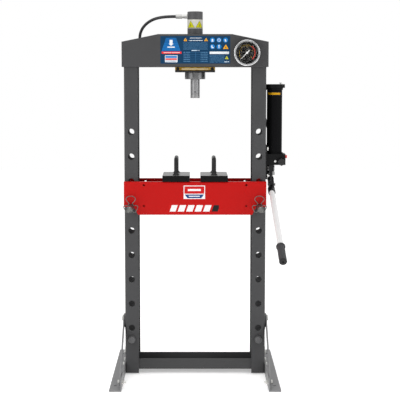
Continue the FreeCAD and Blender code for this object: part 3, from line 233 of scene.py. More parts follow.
def printed_head_film():
    """The blue film's print, from the film's own corner: s across and t up, in millimetres."""
    finish = Finish("head_film_print")
    x, _, z = finish.axes()
    s = (x - film_corner.x) * 1000.0
    t = (z - film_corner.z) * 1000.0
    white = paint_chip(214, 218, 222)
    pale = paint_chip(74, 116, 152)
    haze = paint_chip(190, 208, 224)
    line = paint_chip(58, 108, 152)
    orange = paint_chip(226, 158, 8)
    sky = paint_chip(24, 112, 180)

    def panel(s0, s1, t0, t1):
        """A plain oblong."""
        return inside(s, s0, s1) * inside(t, t0, t1)

    def triangle(middle, foot, width, height):
        """A triangle that stands on its foot."""
        rise = (t - foot) / height
        return inside(t, foot, foot + height) * (abs(s - middle) < (1.0 - rise) * (width / 2))

    def disc(middle, level, radius):
        """A round spot."""
        a = s - middle
        b = t - level
        return (a * a + b * b) < radius * radius

    def rules(s0, s1, t0, t1, pitch, weight):
        """Level lines in a panel, each a share of the pitch in weight."""
        share = t.maths("FRACT", t * (1 / pitch))
        return panel(s0, s1, t0, t1) * (share < weight)

    def broken_rules(s0, s1, t0, t1, pitch, weight):
        """Rules cut into uneven dashes, as a block of small print looks from afar."""
        row = t.maths("FLOOR", t * (1 / pitch))
        place = finish.add("ShaderNodeCombineXYZ", None, {0: s * 0.55, 1: row * 7.3})
        gaps = finish.add("ShaderNodeTexNoise", {"noise_dimensions": "2D"},
                          {"Vector": place, "Scale": 1.0, "Detail": 1.0})
        return rules(s0, s1, t0, t1, pitch, weight) * (gaps > 0.40)

    base = paint_chip(6, 54, 84)
    shield_middle, shield_foot, shield_top = 42.5, 49.0, 102.0
    shield_half_top, shield_flare = 20.0, 0.34
    shield_reach = (shield_top - t) * shield_flare + shield_half_top
    shield = inside(t, shield_foot, shield_top) * (abs(s - shield_middle) < shield_reach)
    arrow_tip, arrow_neck, arrow_flare = 70.0, 79.0, 1.15
    arrow_reach = (t - arrow_tip) * arrow_flare
    arrow_head = inside(t, arrow_tip, arrow_neck) * (abs(s - shield_middle) < arrow_reach)
    sign_radius = 9.6
    signs = [disc(middle, level, sign_radius)
             for middle, level in ((207, 93), (233, 93), (259, 93), (207, 67), (233, 67))]
    # each layer is a mask and its ink, laid over the ones before
    layers = [
        (shield, paint_chip(20, 88, 146)),
        (shield * rules(0, 90, shield_foot, 80, 6.0, 0.24), sky),
        # pressing symbol on the shield: an arrow pointing down at a block
        (panel(36.5, 48.5, arrow_neck, 94), white),
        (arrow_head, white),
        (panel(28, 57, 63, 67.5), white),
        # red strip under the shield
        (panel(5, 84, 39, 47.5), paint_chip(214, 48, 44)),
        (broken_rules(12, 78, 41.8, 44.8, 3.0, 0.95), paint_chip(240, 190, 186)),
        # rating plate: pale, with two plain bands
        (panel(18, 68, 5, 33) * (1.0 - disc(18, 5, 2) - disc(68, 5, 2)), white),
        (panel(20, 66, 22, 31), paint_chip(60, 120, 184)),
        (panel(20, 66, 14, 21), paint_chip(206, 84, 82)),
        (rules(22, 64, 6.5, 12.5, 3.0, 0.4), pale),
        # heading between two triangles, and the dashes below it
        (triangle(99.5, 89, 15, 13), orange), (triangle(181.5, 89, 15, 13), orange),
        (triangle(99.5, 91.5, 3.5, 7), base), (triangle(181.5, 91.5, 3.5, 7), base),
        (broken_rules(117, 164, 97.5, 102.3, 5.0, 0.5), white),
        (broken_rules(112, 169, 89, 93.8, 5.0, 0.5), white),
        (broken_rules(91, 188, 55, 85, 4.3, 0.34), pale),
        (broken_rules(124, 156, 50, 53.5, 3.6, 0.9), haze),
        # ruled table of two columns
        (rules(90, 190, 4, 48, 7.2, 0.09), line),
        (panel(139.5, 140.4, 4, 47), line),
        (broken_rules(92, 118, 5, 47, 7.2, 0.42), pale),
        (broken_rules(160, 188, 5, 47, 7.2, 0.42), pale),
        # five round signs with a plain mark in each
        (sum(signs[1:], signs[0]), sky),
        (disc(207, 94.5, 3.4) + panel(203.5, 210.5, 87, 91) + disc(233, 93, 6.0) + disc(258, 94, 3.0)
         + panel(256, 262, 87.5, 91) + panel(203, 207, 62, 72) + panel(203, 212, 61.5, 65)
         + panel(231.4, 234.6, 61, 69) + disc(233, 71.5, 2.4), white),
        (disc(233, 93, 4.3), sky),
        # large triangle, white strip, dashes and a small triangle
        (triangle(260, 58, 22, 18), orange), (triangle(260, 61, 6, 8), base),
        (panel(196, 273, 38, 47.5), white),
        (broken_rules(196, 255, 3, 34, 4.6, 0.36), pale),
        (triangle(264, 18, 14, 12.5), paint_chip(200, 200, 40)), (triangle(264, 20, 3.5, 6.5), base),
        (broken_rules(255, 274, 5, 10, 5.0, 0.9), haze),
    ]
    colour = base
    for mask, ink in layers:
        colour = finish.mix(mask.maths("MINIMUM", mask, 1.0), colour, ink)
    return finish.surface(colour, finish.noise(60.0) * 0.08 + 0.40, Specular_IOR_Level=0.2)


head_front_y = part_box("head_front_plate")[0].y
film_proud, film_sunk = 0.0003, 0.0001
slab("head_film", (film_corner.x, head_front_y - film_proud, film_corner.z),
     (film_corner.x + film_width, head_front_y + film_sunk, film_corner.z + film_height),
     printed_head_film(), "frame")

# ---- Hydraulic cylinder and its band ----
# Steel tube with a screwed cap, painted as the frame. A printed cream band wraps the
# part above the head, with two plain yellow-green triangles to the front.


def loft(shape, rings, closed=False):
    """Faces from each ring of corners to the next, with an end face at each open end."""
    for first, second in zip(rings, rings[1:]):
        for i in range(len(first)):
            after = (i + 1) % len(first)
            shape.faces.new((first[i], first[after], second[after], second[i]))
    if not closed:
        shape.faces.new(rings[0][::-1])
        shape.faces.new(rings[-1])
    bmesh.ops.recalc_face_normals(shape, faces=shape.faces[:])


def film_patch(name, centre, radius, start, end, low, high, material, body):
    """Printed film on a round piece, from one angle to another about its upright axis."""
    steps = 48
    thickness = 0.0002
    outside = radius + thickness
    closed = end - start >= 360
    shape = bmesh.new()
    rings = []
    for step in range(steps if closed else steps + 1):
        angle = math.radians(start + (end - start) * step / steps)
        rings.append([shape.verts.new((centre[0] + reach * math.sin(angle),
                                       centre[1] - reach * math.cos(angle), level))
                      for reach, level in ((radius, low), (outside, low),
                                           (outside, high), (radius, high))])
    if closed:
        rings.append(rings[0])
    loft(shape, rings, closed)
    piece_from(shape, name, body, material)


band_low, band_high = 1.406, 1.442


def printed_cylinder_band(radius):
    """Cream band: a triangle on each side of the front, each with a plain bar in it."""
    finish = Finish("cylinder_band_print")
    x, y, z = finish.axes()
    turn = x.maths("ARCTAN2", x, 0.0 - y)
    # across from the triangle's middle and up from its foot, in millimetres
    off_centre, foot, height, half_width = 18.6, 1408.5, 29.0, 17.5
    s = abs(abs(turn) * (radius * 1000.0) - off_centre)
    t = z * 1000.0 - foot
    reach = (1.0 - t / height) * half_width
    triangle = inside(t, 0.0, height) * (s < reach)
    border = triangle * (1.0 - inside(t, 1.6, 26.0) * (s < reach - 1.5))
    bar = inside(t, 5.0, 15.0) * (s < 1.3)
    colour = finish.mix(triangle, paint_chip(190, 188, 179), paint_chip(186, 184, 6))
    colour = finish.mix(border.maths("MINIMUM", border, 1.0), colour, paint_chip(110, 110, 20))
    colour = finish.mix(bar, colour, paint_chip(92, 92, 30))
    edge = 1.0 - inside(z, band_low + 0.001, band_high - 0.001)
    colour = finish.mix(edge, colour, paint_chip(160, 160, 150))
    return finish.surface(colour, finish.noise(80.0) * 0.08 + 0.44, Specular_IOR_Level=0.15)


cylinder_low, cylinder_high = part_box("ram_cylinder")
cylinder_radius = (cylinder_high.x - cylinder_low.x) / 2
cylinder_grey = powder_coat("cylinder_grey_powder_coat", paint_chip(76, 76, 77), 0.46, 0.3)
dress(cylinder_grey, "ram_cylinder")
film_patch("cylinder_band", (0, 0), cylinder_radius, 0, 360, band_low, band_high,
           printed_cylinder_band(cylinder_radius), "frame")

# ---- Flange, strap, lock nut, ram and its return spring ----
# The flange is blacked, its strap yellow-passivated and held by two black cap screws.
# The lock nut is turned steel; the rod and its screwed tip are ground and plated.

flange_black = powder_coat("flange_black_paint", paint_chip(38, 38, 40), 0.5, 0.3)
dress(flange_black, "cylinder_flange")


def yellow_passivate():
    """Zinc with its gold passivate, whose thickness drifts, so it runs green and pink. A pale band
    across the middle is a painted highlight, and the strap is darker along its lower edge."""
    finish = Finish("strap_yellow_passivate")
    strap_low, strap_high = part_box("flange_strap")
    low_darkening, rim, highlight_reach = 0.0030, 0.0045, 0.053
    x, _, z = finish.axes()
    drift = finish.noise(46.0, 3.0, (1.0, 1.0, 1.6))
    gold = finish.ramp(drift, (0.30, paint_chip(126, 100, 34)), (0.44, paint_chip(176, 136, 50)),
                       (0.54, paint_chip(188, 156, 88)), (0.62, paint_chip(160, 142, 58)),
                       (0.74, paint_chip(168, 122, 80)))
    # a dark band along the strap's lower edge
    gold = finish.mix(z < strap_low.z + low_darkening, gold, paint_chip(58, 52, 40))
    # painted highlight: a pale band across the middle of the strap, inside its rims
    painted_highlight = inside(z, strap_low.z + rim, strap_high.z - rim) * inside(x, -highlight_reach, highlight_reach)
    pale = finish.mix(drift, paint_chip(172, 158, 116), paint_chip(206, 188, 158))
    tone = finish.mix(painted_highlight, gold, pale)
    return finish.surface(tone, drift * 0.2 + 0.26, finish.noise(900.0), 0.00001, Metallic=0.9)


dress(yellow_passivate(), "flange_strap")


def blacked(name):
    """Oil-blacked steel: near black, with worn lighter patches."""
    finish = Finish(name)
    wear = finish.noise(90.0, 4.0)
    tone = finish.ramp(wear, (0.3, paint_chip(22, 22, 24)), (0.62, paint_chip(34, 34, 36)),
                       (0.78, paint_chip(74, 72, 70)))
    return finish.surface(tone, wear * 0.25 + 0.26, finish.noise(700.0), 0.00003, Metallic=0.6)


dress(blacked("cap_screw_black"), "strap_screws")


def turned(name, colour, roughness, stretch, streak=0.10):
    """Turned or drawn bright steel: fine tool lines, drawn out round the work."""
    finish = Finish(name)
    lines = finish.noise(60.0, 3.0, stretch)
    smears = finish.noise(34.0, 3.0)
    tone = finish.mix(lines, shade(colour, 1 - streak), shade(colour, 1 + streak))
    rough = lines * 0.16 + (smears * 0.14 + (roughness - 0.15))
    return finish.surface(tone, rough, lines, 0.00003, Metallic=1.0)


def ground_rod():
    """Ground and plated rod, with a dark disc at the front of its lower end: painted shade for the
    inside of a pin hole.
    """
    finish = Finish("ram_ground_steel")
    x, y, z = finish.axes()
    lines = finish.noise(60.0, 3.0, (0.6, 0.6, 60.0))
    hole_height, hole_radius_squared = 0.008, 7.8
    level = (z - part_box("ram_rod")[0].z - hole_height) * 1000.0
    across = x * 1000.0
    # painted shade: a dark disc on the rod's front, as the inside of a pin hole
    painted_hole_shade = (across * across + level * level < hole_radius_squared) * (y < 0.0)
    bright = finish.mix(lines, paint_chip(138, 138, 139), paint_chip(147, 147, 148))
    tone = finish.mix(painted_hole_shade, bright, paint_chip(20, 19, 18))
    return finish.surface(tone, lines * 0.14 + 0.40, lines, 0.00003, Metallic=1.0)


dress(turned("lock_nut_turned_steel", paint_chip(114, 114, 115), 0.42, (1.0, 1.0, 40.0)), "lock_nut")
dress(ground_rod(), "ram_rod")
dress(turned("ram_tip_ground_steel", paint_chip(146, 146, 146), 0.46, (0.6, 0.6, 50.0), 0.03), "ram_tip")
dress(turned("piston_turned_steel", paint_chip(140, 140, 140), 0.35, (1.0, 1.0, 40.0)), "ram_piston")
dress(turned("spring_drawn_wire", paint_chip(130, 130, 132), 0.38, (3.0, 3.0, 3.0)), "return_spring")


def zinc_plate(name, colour, roughness):
    """Bright zinc plating: a fine spangle, duller where it has been handled."""
    finish = Finish(name)
    spangle = finish.add("ShaderNodeTexVoronoi", {"feature": "F1"},
                         {"Vector": finish.place, "Scale": 420.0}, "Color")
    grey = finish.add("ShaderNodeSeparateColor", None, {0: spangle})
    haze = finish.noise(60.0, 3.0)
    tone = finish.mix(grey * 0.5 + haze * 0.5, shade(colour, 0.84), shade(colour, 1.12))
    return finish.surface(tone, haze * 0.24 + (grey * 0.08 + (roughness - 0.16)), finish.noise(600.0),
                          0.00002, Metallic=1.0)


bolt_zinc = zinc_plate("bolt_zinc_plate", paint_chip(222, 222, 218), 0.42)
dress(bolt_zinc, "frame_bolts", "flange_bolts", "pump_mount_bolts")

# ---- Pressure gauge ----
# Black pressed case, bright chromed bezel, glass, a black dial printed in white,
# yellow and red, and a white needle on its spindle. Brass stem and bourdon tube.

dial_low, dial_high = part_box("gauge_dial")
dial_centre = Vector(((dial_low.x + dial_high.x) / 2, dial_low.y, (dial_low.z + dial_high.z) / 2))


def gauge_finishes():
    """The finish of each of the gauge's parts."""
    case = powder_coat("gauge_case_black", paint_chip(30, 30, 32), 0.38, 0.4)
    dress(case, "gauge_case")
    chrome = Finish("bezel_chrome")
    haze = chrome.noise(50.0, 3.0)
    tone = chrome.mix(haze, paint_chip(222, 223, 224), paint_chip(238, 238, 239))
    dress(chrome.surface(tone, haze * 0.12 + 0.20, chrome.noise(500.0), 0.00001, Metallic=1.0),
          "gauge_bezel")
    dial = Finish("dial_black_enamel")
    x, _, z = dial.axes()
    a = x - dial_centre.x
    b = z - dial_centre.z
    reach = a.maths("SQRT", a * a + b * b)
    # painted shade: the dial darkens towards its rim, under the bezel
    tone = dial.mix(reach * 22.0, paint_chip(24, 22, 18), paint_chip(12, 12, 12))
    dress(dial.surface(tone, dial.noise(300.0) * 0.12 + 0.42, dial.noise(900.0), 0.00001), "gauge_dial")
    glass = Finish("gauge_glass")
    smear = glass.noise(40.0, 3.0)
    tone = glass.mix(smear, (0.96, 0.97, 0.97, 1), (1, 1, 1, 1))
    dress(glass.surface(tone, smear * 0.03 + 0.01, Transmission_Weight=1.0, IOR=1.12), "gauge_lens")
    needle = Finish("needle_white_enamel")
    tone = needle.mix(needle.noise(200.0), paint_chip(226, 226, 224), paint_chip(244, 244, 242))
    dress(needle.surface(tone, needle.noise(300.0) * 0.1 + 0.35), "gauge_pointer")
    brass = Finish("turned_brass")
    lines = brass.noise(60.0, 3.0, (1.0, 30.0, 1.0))
    tone = brass.mix(lines, paint_chip(176, 142, 72), paint_chip(206, 172, 98))
    dress(brass.surface(tone, lines * 0.2 + 0.22, lines, 0.00002, Metallic=1.0),
          "gauge_stem", "gauge_bourdon_tube")
    dress(zinc_plate("pipe_zinc_plate", paint_chip(170, 170, 168), 0.34), "gauge_pipe")


gauge_finishes()


def ink(name, colour):
    """Printing ink: flat colour with a slight unevenness in its cover."""
    finish = Finish(name)
    cover = finish.noise(900.0, 2.0)
    tone = finish.mix(cover, shade(colour, 0.86), shade(colour, 1.08))
    return finish.surface(tone, cover * 0.1 + 0.45)


white_ink = ink("dial_white_ink", paint_chip(118, 116, 108))
yellow_ink = ink("dial_yellow_ink", paint_chip(150, 118, 20))
red_ink = ink("dial_red_ink", paint_chip(172, 48, 34))


def tick_tree(material):
    """Geometry Nodes: small bars set round a ring, from a first angle through a sweep."""
    tree = bpy.data.node_groups.new("dial_ticks", "GeometryNodeTree")
    for name in ("count", "radius", "length", "width", "first", "sweep"):
        kind = "NodeSocketInt" if name == "count" else "NodeSocketFloat"
        tree.interface.new_socket(name, in_out="INPUT", socket_type=kind)
    tree.interface.new_socket("Geometry", in_out="OUTPUT", socket_type="NodeSocketGeometry")

    def lay(kind, settings=None, sockets=None):
        """Any node: its settings first, then the values or links of its sockets."""
        node = tree.nodes.new(kind)
        for name, value in (settings or {}).items():
            setattr(node, name, value)
        for name, value in (sockets or {}).items():
            if isinstance(value, bpy.types.NodeSocket):
                tree.links.new(value, node.inputs[name])
            else:
                node.inputs[name].default_value = value
        return node

    def maths(operation, first, second):
        """One operation on two values."""
        return lay("ShaderNodeMath", {"operation": operation}, {0: first, 1: second}).outputs[0]

    given = lay("NodeGroupInput").outputs
    line = lay("GeometryNodeMeshLine", None, {"Count": given["count"]})
    turn = maths("DIVIDE", lay("GeometryNodeInputIndex").outputs[0],
                 maths("SUBTRACT", given["count"], 1))
    angle = maths("ADD", given["first"], maths("MULTIPLY", turn, given["sweep"]))
    across = maths("MULTIPLY", given["radius"], maths("COSINE", angle, 0))
    up = maths("MULTIPLY", given["radius"], maths("SINE", angle, 0))
    where = lay("ShaderNodeCombineXYZ", None, {0: across, 2: up})
    placed = lay("GeometryNodeSetPosition", None,
                 {"Geometry": line.outputs[0], "Position": where.outputs[0]})
    ink_depth = 0.0001
    size = lay("ShaderNodeCombineXYZ", None, {0: given["length"], 1: ink_depth, 2: given["width"]})
    bar = lay("GeometryNodeMeshCube", None, {"Size": size.outputs[0]})
    tilt = lay("ShaderNodeCombineXYZ", None, {1: maths("MULTIPLY", angle, -1)})
    bars = lay("GeometryNodeInstanceOnPoints", None,
               {"Points": placed.outputs[0], "Instance": bar.outputs[0], "Rotation": tilt.outputs[0]})
    real = lay("GeometryNodeRealizeInstances", None, {0: bars.outputs[0]})
    inked = lay("GeometryNodeSetMaterial", None, {"Geometry": real.outputs[0], "Material": material})
    lay("NodeGroupOutput", None, {0: inked.outputs[0]})
    return tree


def settle(maker, name, material, place):
    """A piece on the frame with the plain mesh that a maker's modifiers or text give."""
    bpy.context.view_layer.update()
    graph = bpy.context.evaluated_depsgraph_get()
    mesh = bpy.data.meshes.new_from_object(maker.evaluated_get(graph))
    bpy.data.objects.remove(maker)
    mesh.transform(place)
    mesh.materials.clear()
    mesh.materials.append(material)
    for face in mesh.polygons:
        face.material_index = 0
    done = in_scene(name, mesh)
    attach(done, "frame")


# the scales start at the lower left and run clockwise, in degrees
scale_start, scale_sweep = 225, -270


def ring_of_ticks(name, material, **sizes):
    """One ring of the dial's printed ticks."""
    holder = in_scene(name + "_maker", bpy.data.meshes.new(name + "_maker"))
    tree = tick_tree(material)
    maker = holder.modifiers.new("ticks", "NODES")
    maker.node_group = tree
    sizes.update(first=math.radians(scale_start), sweep=math.radians(scale_sweep))
    for item in tree.interface.items_tree:
        if item.in_out == "INPUT":
            maker[item.identifier] = sizes[item.name]
    lift = Vector((0, -0.00008, 0))
    settle(holder, name, material, Matrix.Translation(dial_centre + lift))


ring_of_ticks("dial_outer_ticks", white_ink, count=61, radius=0.0418, length=0.0022, width=0.0005)
ring_of_ticks("dial_outer_long_ticks", white_ink, count=13, radius=0.0408, length=0.0044, width=0.0009)
ring_of_ticks("dial_inner_ticks", yellow_ink, count=41, radius=0.0315, length=0.0032, width=0.0008)
ring_of_ticks("dial_inner_long_ticks", yellow_ink, count=9, radius=0.0308, length=0.0052, width=0.0012)


def dial_arc(name, material, inner, outer, start, end):
    """A printed band of the dial, from one angle to another."""
    steps = 40
    ink_depth = 0.0001
    lift = Vector((0, -0.00003, 0))
    shape = bmesh.new()
    rings = []
    for step in range(steps + 1):
        angle = math.radians(start + (end - start) * step / steps)
        rings.append([shape.verts.new((reach * math.cos(angle), depth, reach * math.sin(angle)))
                      for reach, depth in ((inner, 0), (inner, -ink_depth),
                                           (outer, -ink_depth), (outer, 0))])
    loft(shape, rings)
    bmesh.ops.translate(shape, verts=shape.verts[:], vec=dial_centre + lift)
    piece_from(shape, name, "frame", material)


red_start = 56
dial_arc("dial_red_zone", red_ink, 0.0292, 0.0345, red_start, -50)
dial_arc("dial_yellow_zone", yellow_ink, 0.0290, 0.0299, scale_start, red_start)


def dial_figure(name, words, size, reach, degrees, material):
    """A scale figure, set upright at its place round the dial."""
    text = bpy.data.curves.new(name + "_maker", "FONT")
    text.body = words
    text.size = size
    text.align_x = "CENTER"
    text.align_y = "CENTER"
    text.extrude = 0.00005
    holder = in_scene(name + "_maker", text)
    angle = math.radians(degrees)
    lift = 0.00006
    middle = dial_centre + Vector((reach * math.cos(angle), -lift, reach * math.sin(angle)))
    upright = Matrix.Rotation(math.radians(90), 4, "X")
    settle(holder, name, material, Matrix.Translation(middle) @ upright)


for scale, count, value, size, reach, material in (("outer", 7, 10, 0.0062, 0.0366, white_ink),
                                                   ("inner", 5, 5, 0.0070, 0.0232, yellow_ink)):
    for step in range(count):
        dial_figure(f"dial_{scale}_figure_{step}", str(step * value), size, reach,
                    scale_start + scale_sweep * step / (count - 1), material)

# ---- Hose ----
# High-pressure hose, 12 mm over its smooth black rubber cover, from the cylinder's
# port over the left shoulder, along behind the head and down to the pump.

hose_diameter = 0.012
hose_route = [
    (-0.078, 0, 1.455), (-0.116, 0, 1.455), (-0.163, 0.014, 1.448), (-0.197, 0.036, 1.431),
    (-0.220, 0.060, 1.406), (-0.230, 0.079, 1.374), (-0.222, 0.088, 1.336), (-0.203, 0.092, 1.304),
    (-0.168, 0.093, 1.283), (-0.116, 0.093, 1.276), (-0.030, 0.095, 1.274), (0.064, 0.094, 1.280),
    (0.136, 0.093, 1.290), (0.190, 0.092, 1.292), (0.232, 0.093, 1.278), (0.256, 0.094, 1.244),
    (0.264, 0.096, 1.196), (0.268, 0.098, 1.136), (0.279, 0.097, 1.076), (0.297, 0.088, 1.018),
    (0.312, 0.071, 0.976), (0.318, 0.056, 0.941), (0.318, 0.056, 0.908),
]
hose_curve = bpy.data.curves.new("hydraulic_hose_line", "CURVE")
hose_curve.dimensions = "3D"
hose_curve.bevel_depth = hose_diameter / 2
hose_curve.bevel_resolution = 8
hose_curve.resolution_u = 16
hose_curve.use_fill_caps = True
spline = hose_curve.splines.new("NURBS")
spline.points.add(len(hose_route) - 1)
for point, place in zip(spline.points, hose_route):
    point.co = (*place, 1.0)
spline.order_u = 3
spline.use_endpoint_u = True
hose = in_scene("hose_cover", hose_curve)


def rubber(name, colour, roughness, grain=700.0, depth=0.00004):
    """Moulded or extruded rubber: matt, faintly grained, with a dusty bloom."""
    finish = Finish(name)
    bloom = finish.noise(26.0, 4.0)
    fine = finish.noise(grain, 2.0)
    tone = finish.mix(bloom, shade(colour, 0.75), shade(colour, 1.3))
    return finish.surface(tone, bloom * 0.16 + (roughness - 0.08), fine, depth, Specular_IOR_Level=0.4)


hose_curve.materials.append(rubber("hose_rubber_cover", paint_chip(40, 40, 42), 0.42, 1200.0,
                                   0.00002))
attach(hose, "frame")
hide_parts("hydraulic_hose")
dress(zinc_plate("hose_end_zinc_plate", paint_chip(188, 188, 186), 0.5), "hose_ends", "hose_adapters")

# ---- Bed ----
# Two folded beams facing each other, joined by ribs, in gloss red powder paint. The
# front face has four small holes, a plain badge and a row of slanted bars.

bed_red = powder_coat("bed_red_powder_coat", paint_chip(172, 10, 4), 0.40, 0.15, 0.07)
dress(bed_red, "bed_front_beam", "bed_rear_beam", "bed_ribs")


badge_corner, badge_width, badge_height = Vector((-0.046, 0.0, 0.724)), 0.086, 0.054
stripes_corner, stripes_width, stripes_height = Vector((-0.104, 0.0, 0.673)), 0.200, 0.026


def printed_badge():
    """Plain badge: a white rim round a red field over a blue one, with a pale bar in each."""
    finish = Finish("bed_badge_print")
    x, _, z = finish.axes()
    # out from the badge's middle and up from its foot, in millimetres
    s = abs((x - (badge_corner.x + badge_width / 2)) * 1000.0)
    t = (z - badge_corner.z) * 1000.0
    red = inside(t, 21.0, 51.0) * (s < 40.0)
    blue = inside(t, 3.0, 18.0) * (s < 26.0 + t * 0.7)
    bar = inside(t, 32.0, 40.0) * (s < 26.0) + inside(t, 9.0, 12.5) * (s < 22.0)
    pale = paint_chip(226, 226, 228)
    colour = finish.mix(red, pale, paint_chip(186, 22, 24))
    colour = finish.mix(blue, colour, paint_chip(26, 62, 116))
    colour = finish.mix(bar, colour, pale)
    return finish.surface(colour, finish.noise(60.0) * 0.08 + 0.40, Specular_IOR_Level=0.2)


def printed_stripes():
    """White slanted bars, the last one black, on the bed's red."""
    finish = Finish("bed_stripes_print")
    x, _, z = finish.axes()
    slant, pitch, bar_share, black_from = 0.35, 34.0, 0.74, 167.0
    across = (x - stripes_corner.x) * 1000.0 - (z - stripes_corner.z) * (1000.0 * slant)
    step = across.maths("FRACT", across * (1 / pitch))
    cover = finish.noise(90.0)
    white = finish.mix(cover, paint_chip(216, 216, 216), paint_chip(234, 234, 234))
    tone = finish.mix(across > black_from, white, paint_chip(26, 24, 25))
    red = finish.mix(cover, paint_chip(176, 14, 7), paint_chip(188, 16, 8))
    tone = finish.mix((step < bar_share) * inside(across, 2.0, 196.0), red, tone)
    return finish.surface(tone, cover * 0.06 + 0.38, Specular_IOR_Level=0.2)


bed_front_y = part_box("bed_front_beam")[0].y
print_proud, print_sunk = 0.0002, 0.0001
for name, corner, width, height, print_finish in (
        ("bed_badge", badge_corner, badge_width, badge_height, printed_badge()),
        ("bed_stripes", stripes_corner, stripes_width, stripes_height, printed_stripes())):
    slab(name, (corner.x, bed_front_y - print_proud, corner.z),
         (corner.x + width, bed_front_y + print_sunk, corner.z + height), print_finish, "bed")

# ---- Bed pins ----
# Zinc-plated steel bars with a wire clip through each, which stops the pin at the
# bed's face and is what a finger pulls.

pin_zinc = zinc_plate("pin_zinc_plate", paint_chip(110, 110, 108), 0.40)
dress(pin_zinc, "left_bed_pin", "right_bed_pin")

# ---- Press plates and their handles ----
# Sawn steel blocks, blacked, with tops ground bright and a bent round bar welded on.


def press_plate_steel():
    """Blacked all over, then ground along the top, where the black stays in the scratches."""
    finish = Finish("press_plate_steel")
    _, _, z = finish.axes()
    ground_depth = 0.0006
    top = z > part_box("left_press_plate")[1].z - ground_depth
    scratches = finish.noise(14.0, 5.0, (1.0, 26.0, 1.0), 0.7)
    wear = finish.noise(70.0, 4.0)
    bright = finish.mix(scratches, paint_chip(102, 102, 102), paint_chip(148, 148, 148))
    black = finish.ramp(wear, (0.3, paint_chip(12, 12, 13)), (0.65, paint_chip(18, 18, 19)),
                        (0.8, paint_chip(40, 38, 37)))
    tone = finish.mix(top, black, bright)
    return finish.surface(tone, scratches * 0.2 + (wear * 0.1 + 0.24), wear, 0.00005,
                          Metallic=top * 0.85 + 0.05, Specular_IOR_Level=0.12)


dress(press_plate_steel(), "left_press_plate", "right_press_plate")
handle_black = powder_coat("plate_handle_black_paint", paint_chip(24, 24, 25), 0.46, 0.3)
dress(handle_black, "left_plate_handle", "right_plate_handle")

# ---- Feet and braces ----
# Rolled steel angle and flat bar, in a lighter grey than the posts, bolted on.

foot_grey = powder_coat("foot_grey_powder_coat", paint_chip(120, 120, 121), 0.46, 0.35)
dress(foot_grey, "left_foot", "right_foot", "left_braces", "right_braces")

# ---- Hand pump ----
# Painted black: a machined block on a bracket, with the oil reservoir standing on it.
# The release knob is moulded and fluted, the relief plug's cap red.

bracket_black = powder_coat("pump_bracket_black_paint", paint_chip(30, 30, 31), 0.5, 0.15)
dress(bracket_black, "pump_bracket")
block_black = powder_coat("pump_block_black_paint", paint_chip(22, 22, 23), 0.45, 0.12)
dress(block_black, "pump_block")
reservoir_black = powder_coat("reservoir_black_paint", paint_chip(22, 22, 23), 0.5, 0.03)
dress(reservoir_black, "pump_reservoir")
cap_black = powder_coat("reservoir_cap_black", paint_chip(20, 20, 21), 0.5, 0.1)
dress(cap_black, "reservoir_cap")
dress(zinc_plate("filler_screw_zinc", paint_chip(200, 200, 198), 0.3), "filler_screw", "block_fittings")
dress(rubber("release_knob_moulding", paint_chip(24, 24, 26), 0.45, 900.0, 0.00003), "release_knob")


def red_cap():
    """Glossy moulded plastic with a slight orange peel."""
    finish = Finish("relief_cap_red_plastic")
    cloud = finish.noise(120.0, 2.0)
    tone = finish.mix(cloud, paint_chip(196, 34, 26), paint_chip(222, 48, 36))
    return finish.surface(tone, cloud * 0.14 + 0.24, finish.noise(900.0), 0.00002)


dress(red_cap(), "relief_valve_cap")


# the band's two ends, in degrees from the front, and its two edges
wrap_start, wrap_end = -74, 50
wrap_low, wrap_high = 1.1370, 1.1525


def printed_reservoir_band(centre_x):
    """Yellow strip with a dark border all round."""
    finish = Finish("reservoir_band_print")
    x, y, z = finish.axes()
    side_border = 6
    turn = x.maths("ARCTAN2", x - centre_x, 0.0 - y)
    ends = inside(turn, math.radians(wrap_start + side_border), math.radians(wrap_end - side_border))
    strip = inside(z, wrap_low + 0.0035, wrap_high - 0.0035)
    tone = finish.mix(strip * ends, paint_chip(18, 19, 30), paint_chip(190, 140, 6))
    return finish.surface(tone, finish.noise(80.0) * 0.1 + 0.36, Specular_IOR_Level=0.15)


ring_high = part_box("pump_reservoir")[1]
reservoir_x = ring_high.x - ring_high.y
foot_ring_step = 0.004
film_patch("reservoir_band", (reservoir_x, 0), ring_high.y - foot_ring_step, wrap_start, wrap_end,
           wrap_low, wrap_high, printed_reservoir_band(reservoir_x), "frame")

# ---- Plunger, lever and linkage ----
# Turned barrel under the block, a ground plunger in it, and a black forked lever
# that turns on the fulcrum link and carries the handle in its socket.

dress(turned("barrel_turned_steel", paint_chip(150, 150, 150), 0.42, (1.0, 1.0, 40.0)),
      "plunger_barrel")
dress(turned("plunger_ground_steel", paint_chip(176, 176, 177), 0.26, (0.6, 0.6, 60.0), 0.06),
      "pump_plunger")
linkage_black = blacked("linkage_black")
dress(linkage_black, "fulcrum_link", "pump_lever")
dress(zinc_plate("linkage_pin_zinc", paint_chip(120, 120, 120), 0.35), "fulcrum_pins")

# ---- Handle and grip ----
# White enamelled steel tube in the lever's socket, with a moulded rubber grip: a
# collar, a body with long ribs, and a rounded end with a small vent.


def white_enamel():
    """Stoved white enamel, a little darker in cloudy patches towards its lower end."""
    finish = Finish("handle_white_enamel")
    _, _, z = finish.axes()
    # cloudy darkening that grows lower down the handle
    low_darkening = finish.noise(30.0, 4.0) * (0.95 - z * 0.9)
    tone = finish.mix(low_darkening, paint_chip(220, 219, 219), paint_chip(192, 191, 190))
    return finish.surface(tone, finish.noise(60.0) * 0.12 + 0.30, finish.noise(500.0), 0.00003)


dress(white_enamel(), "pump_handle")


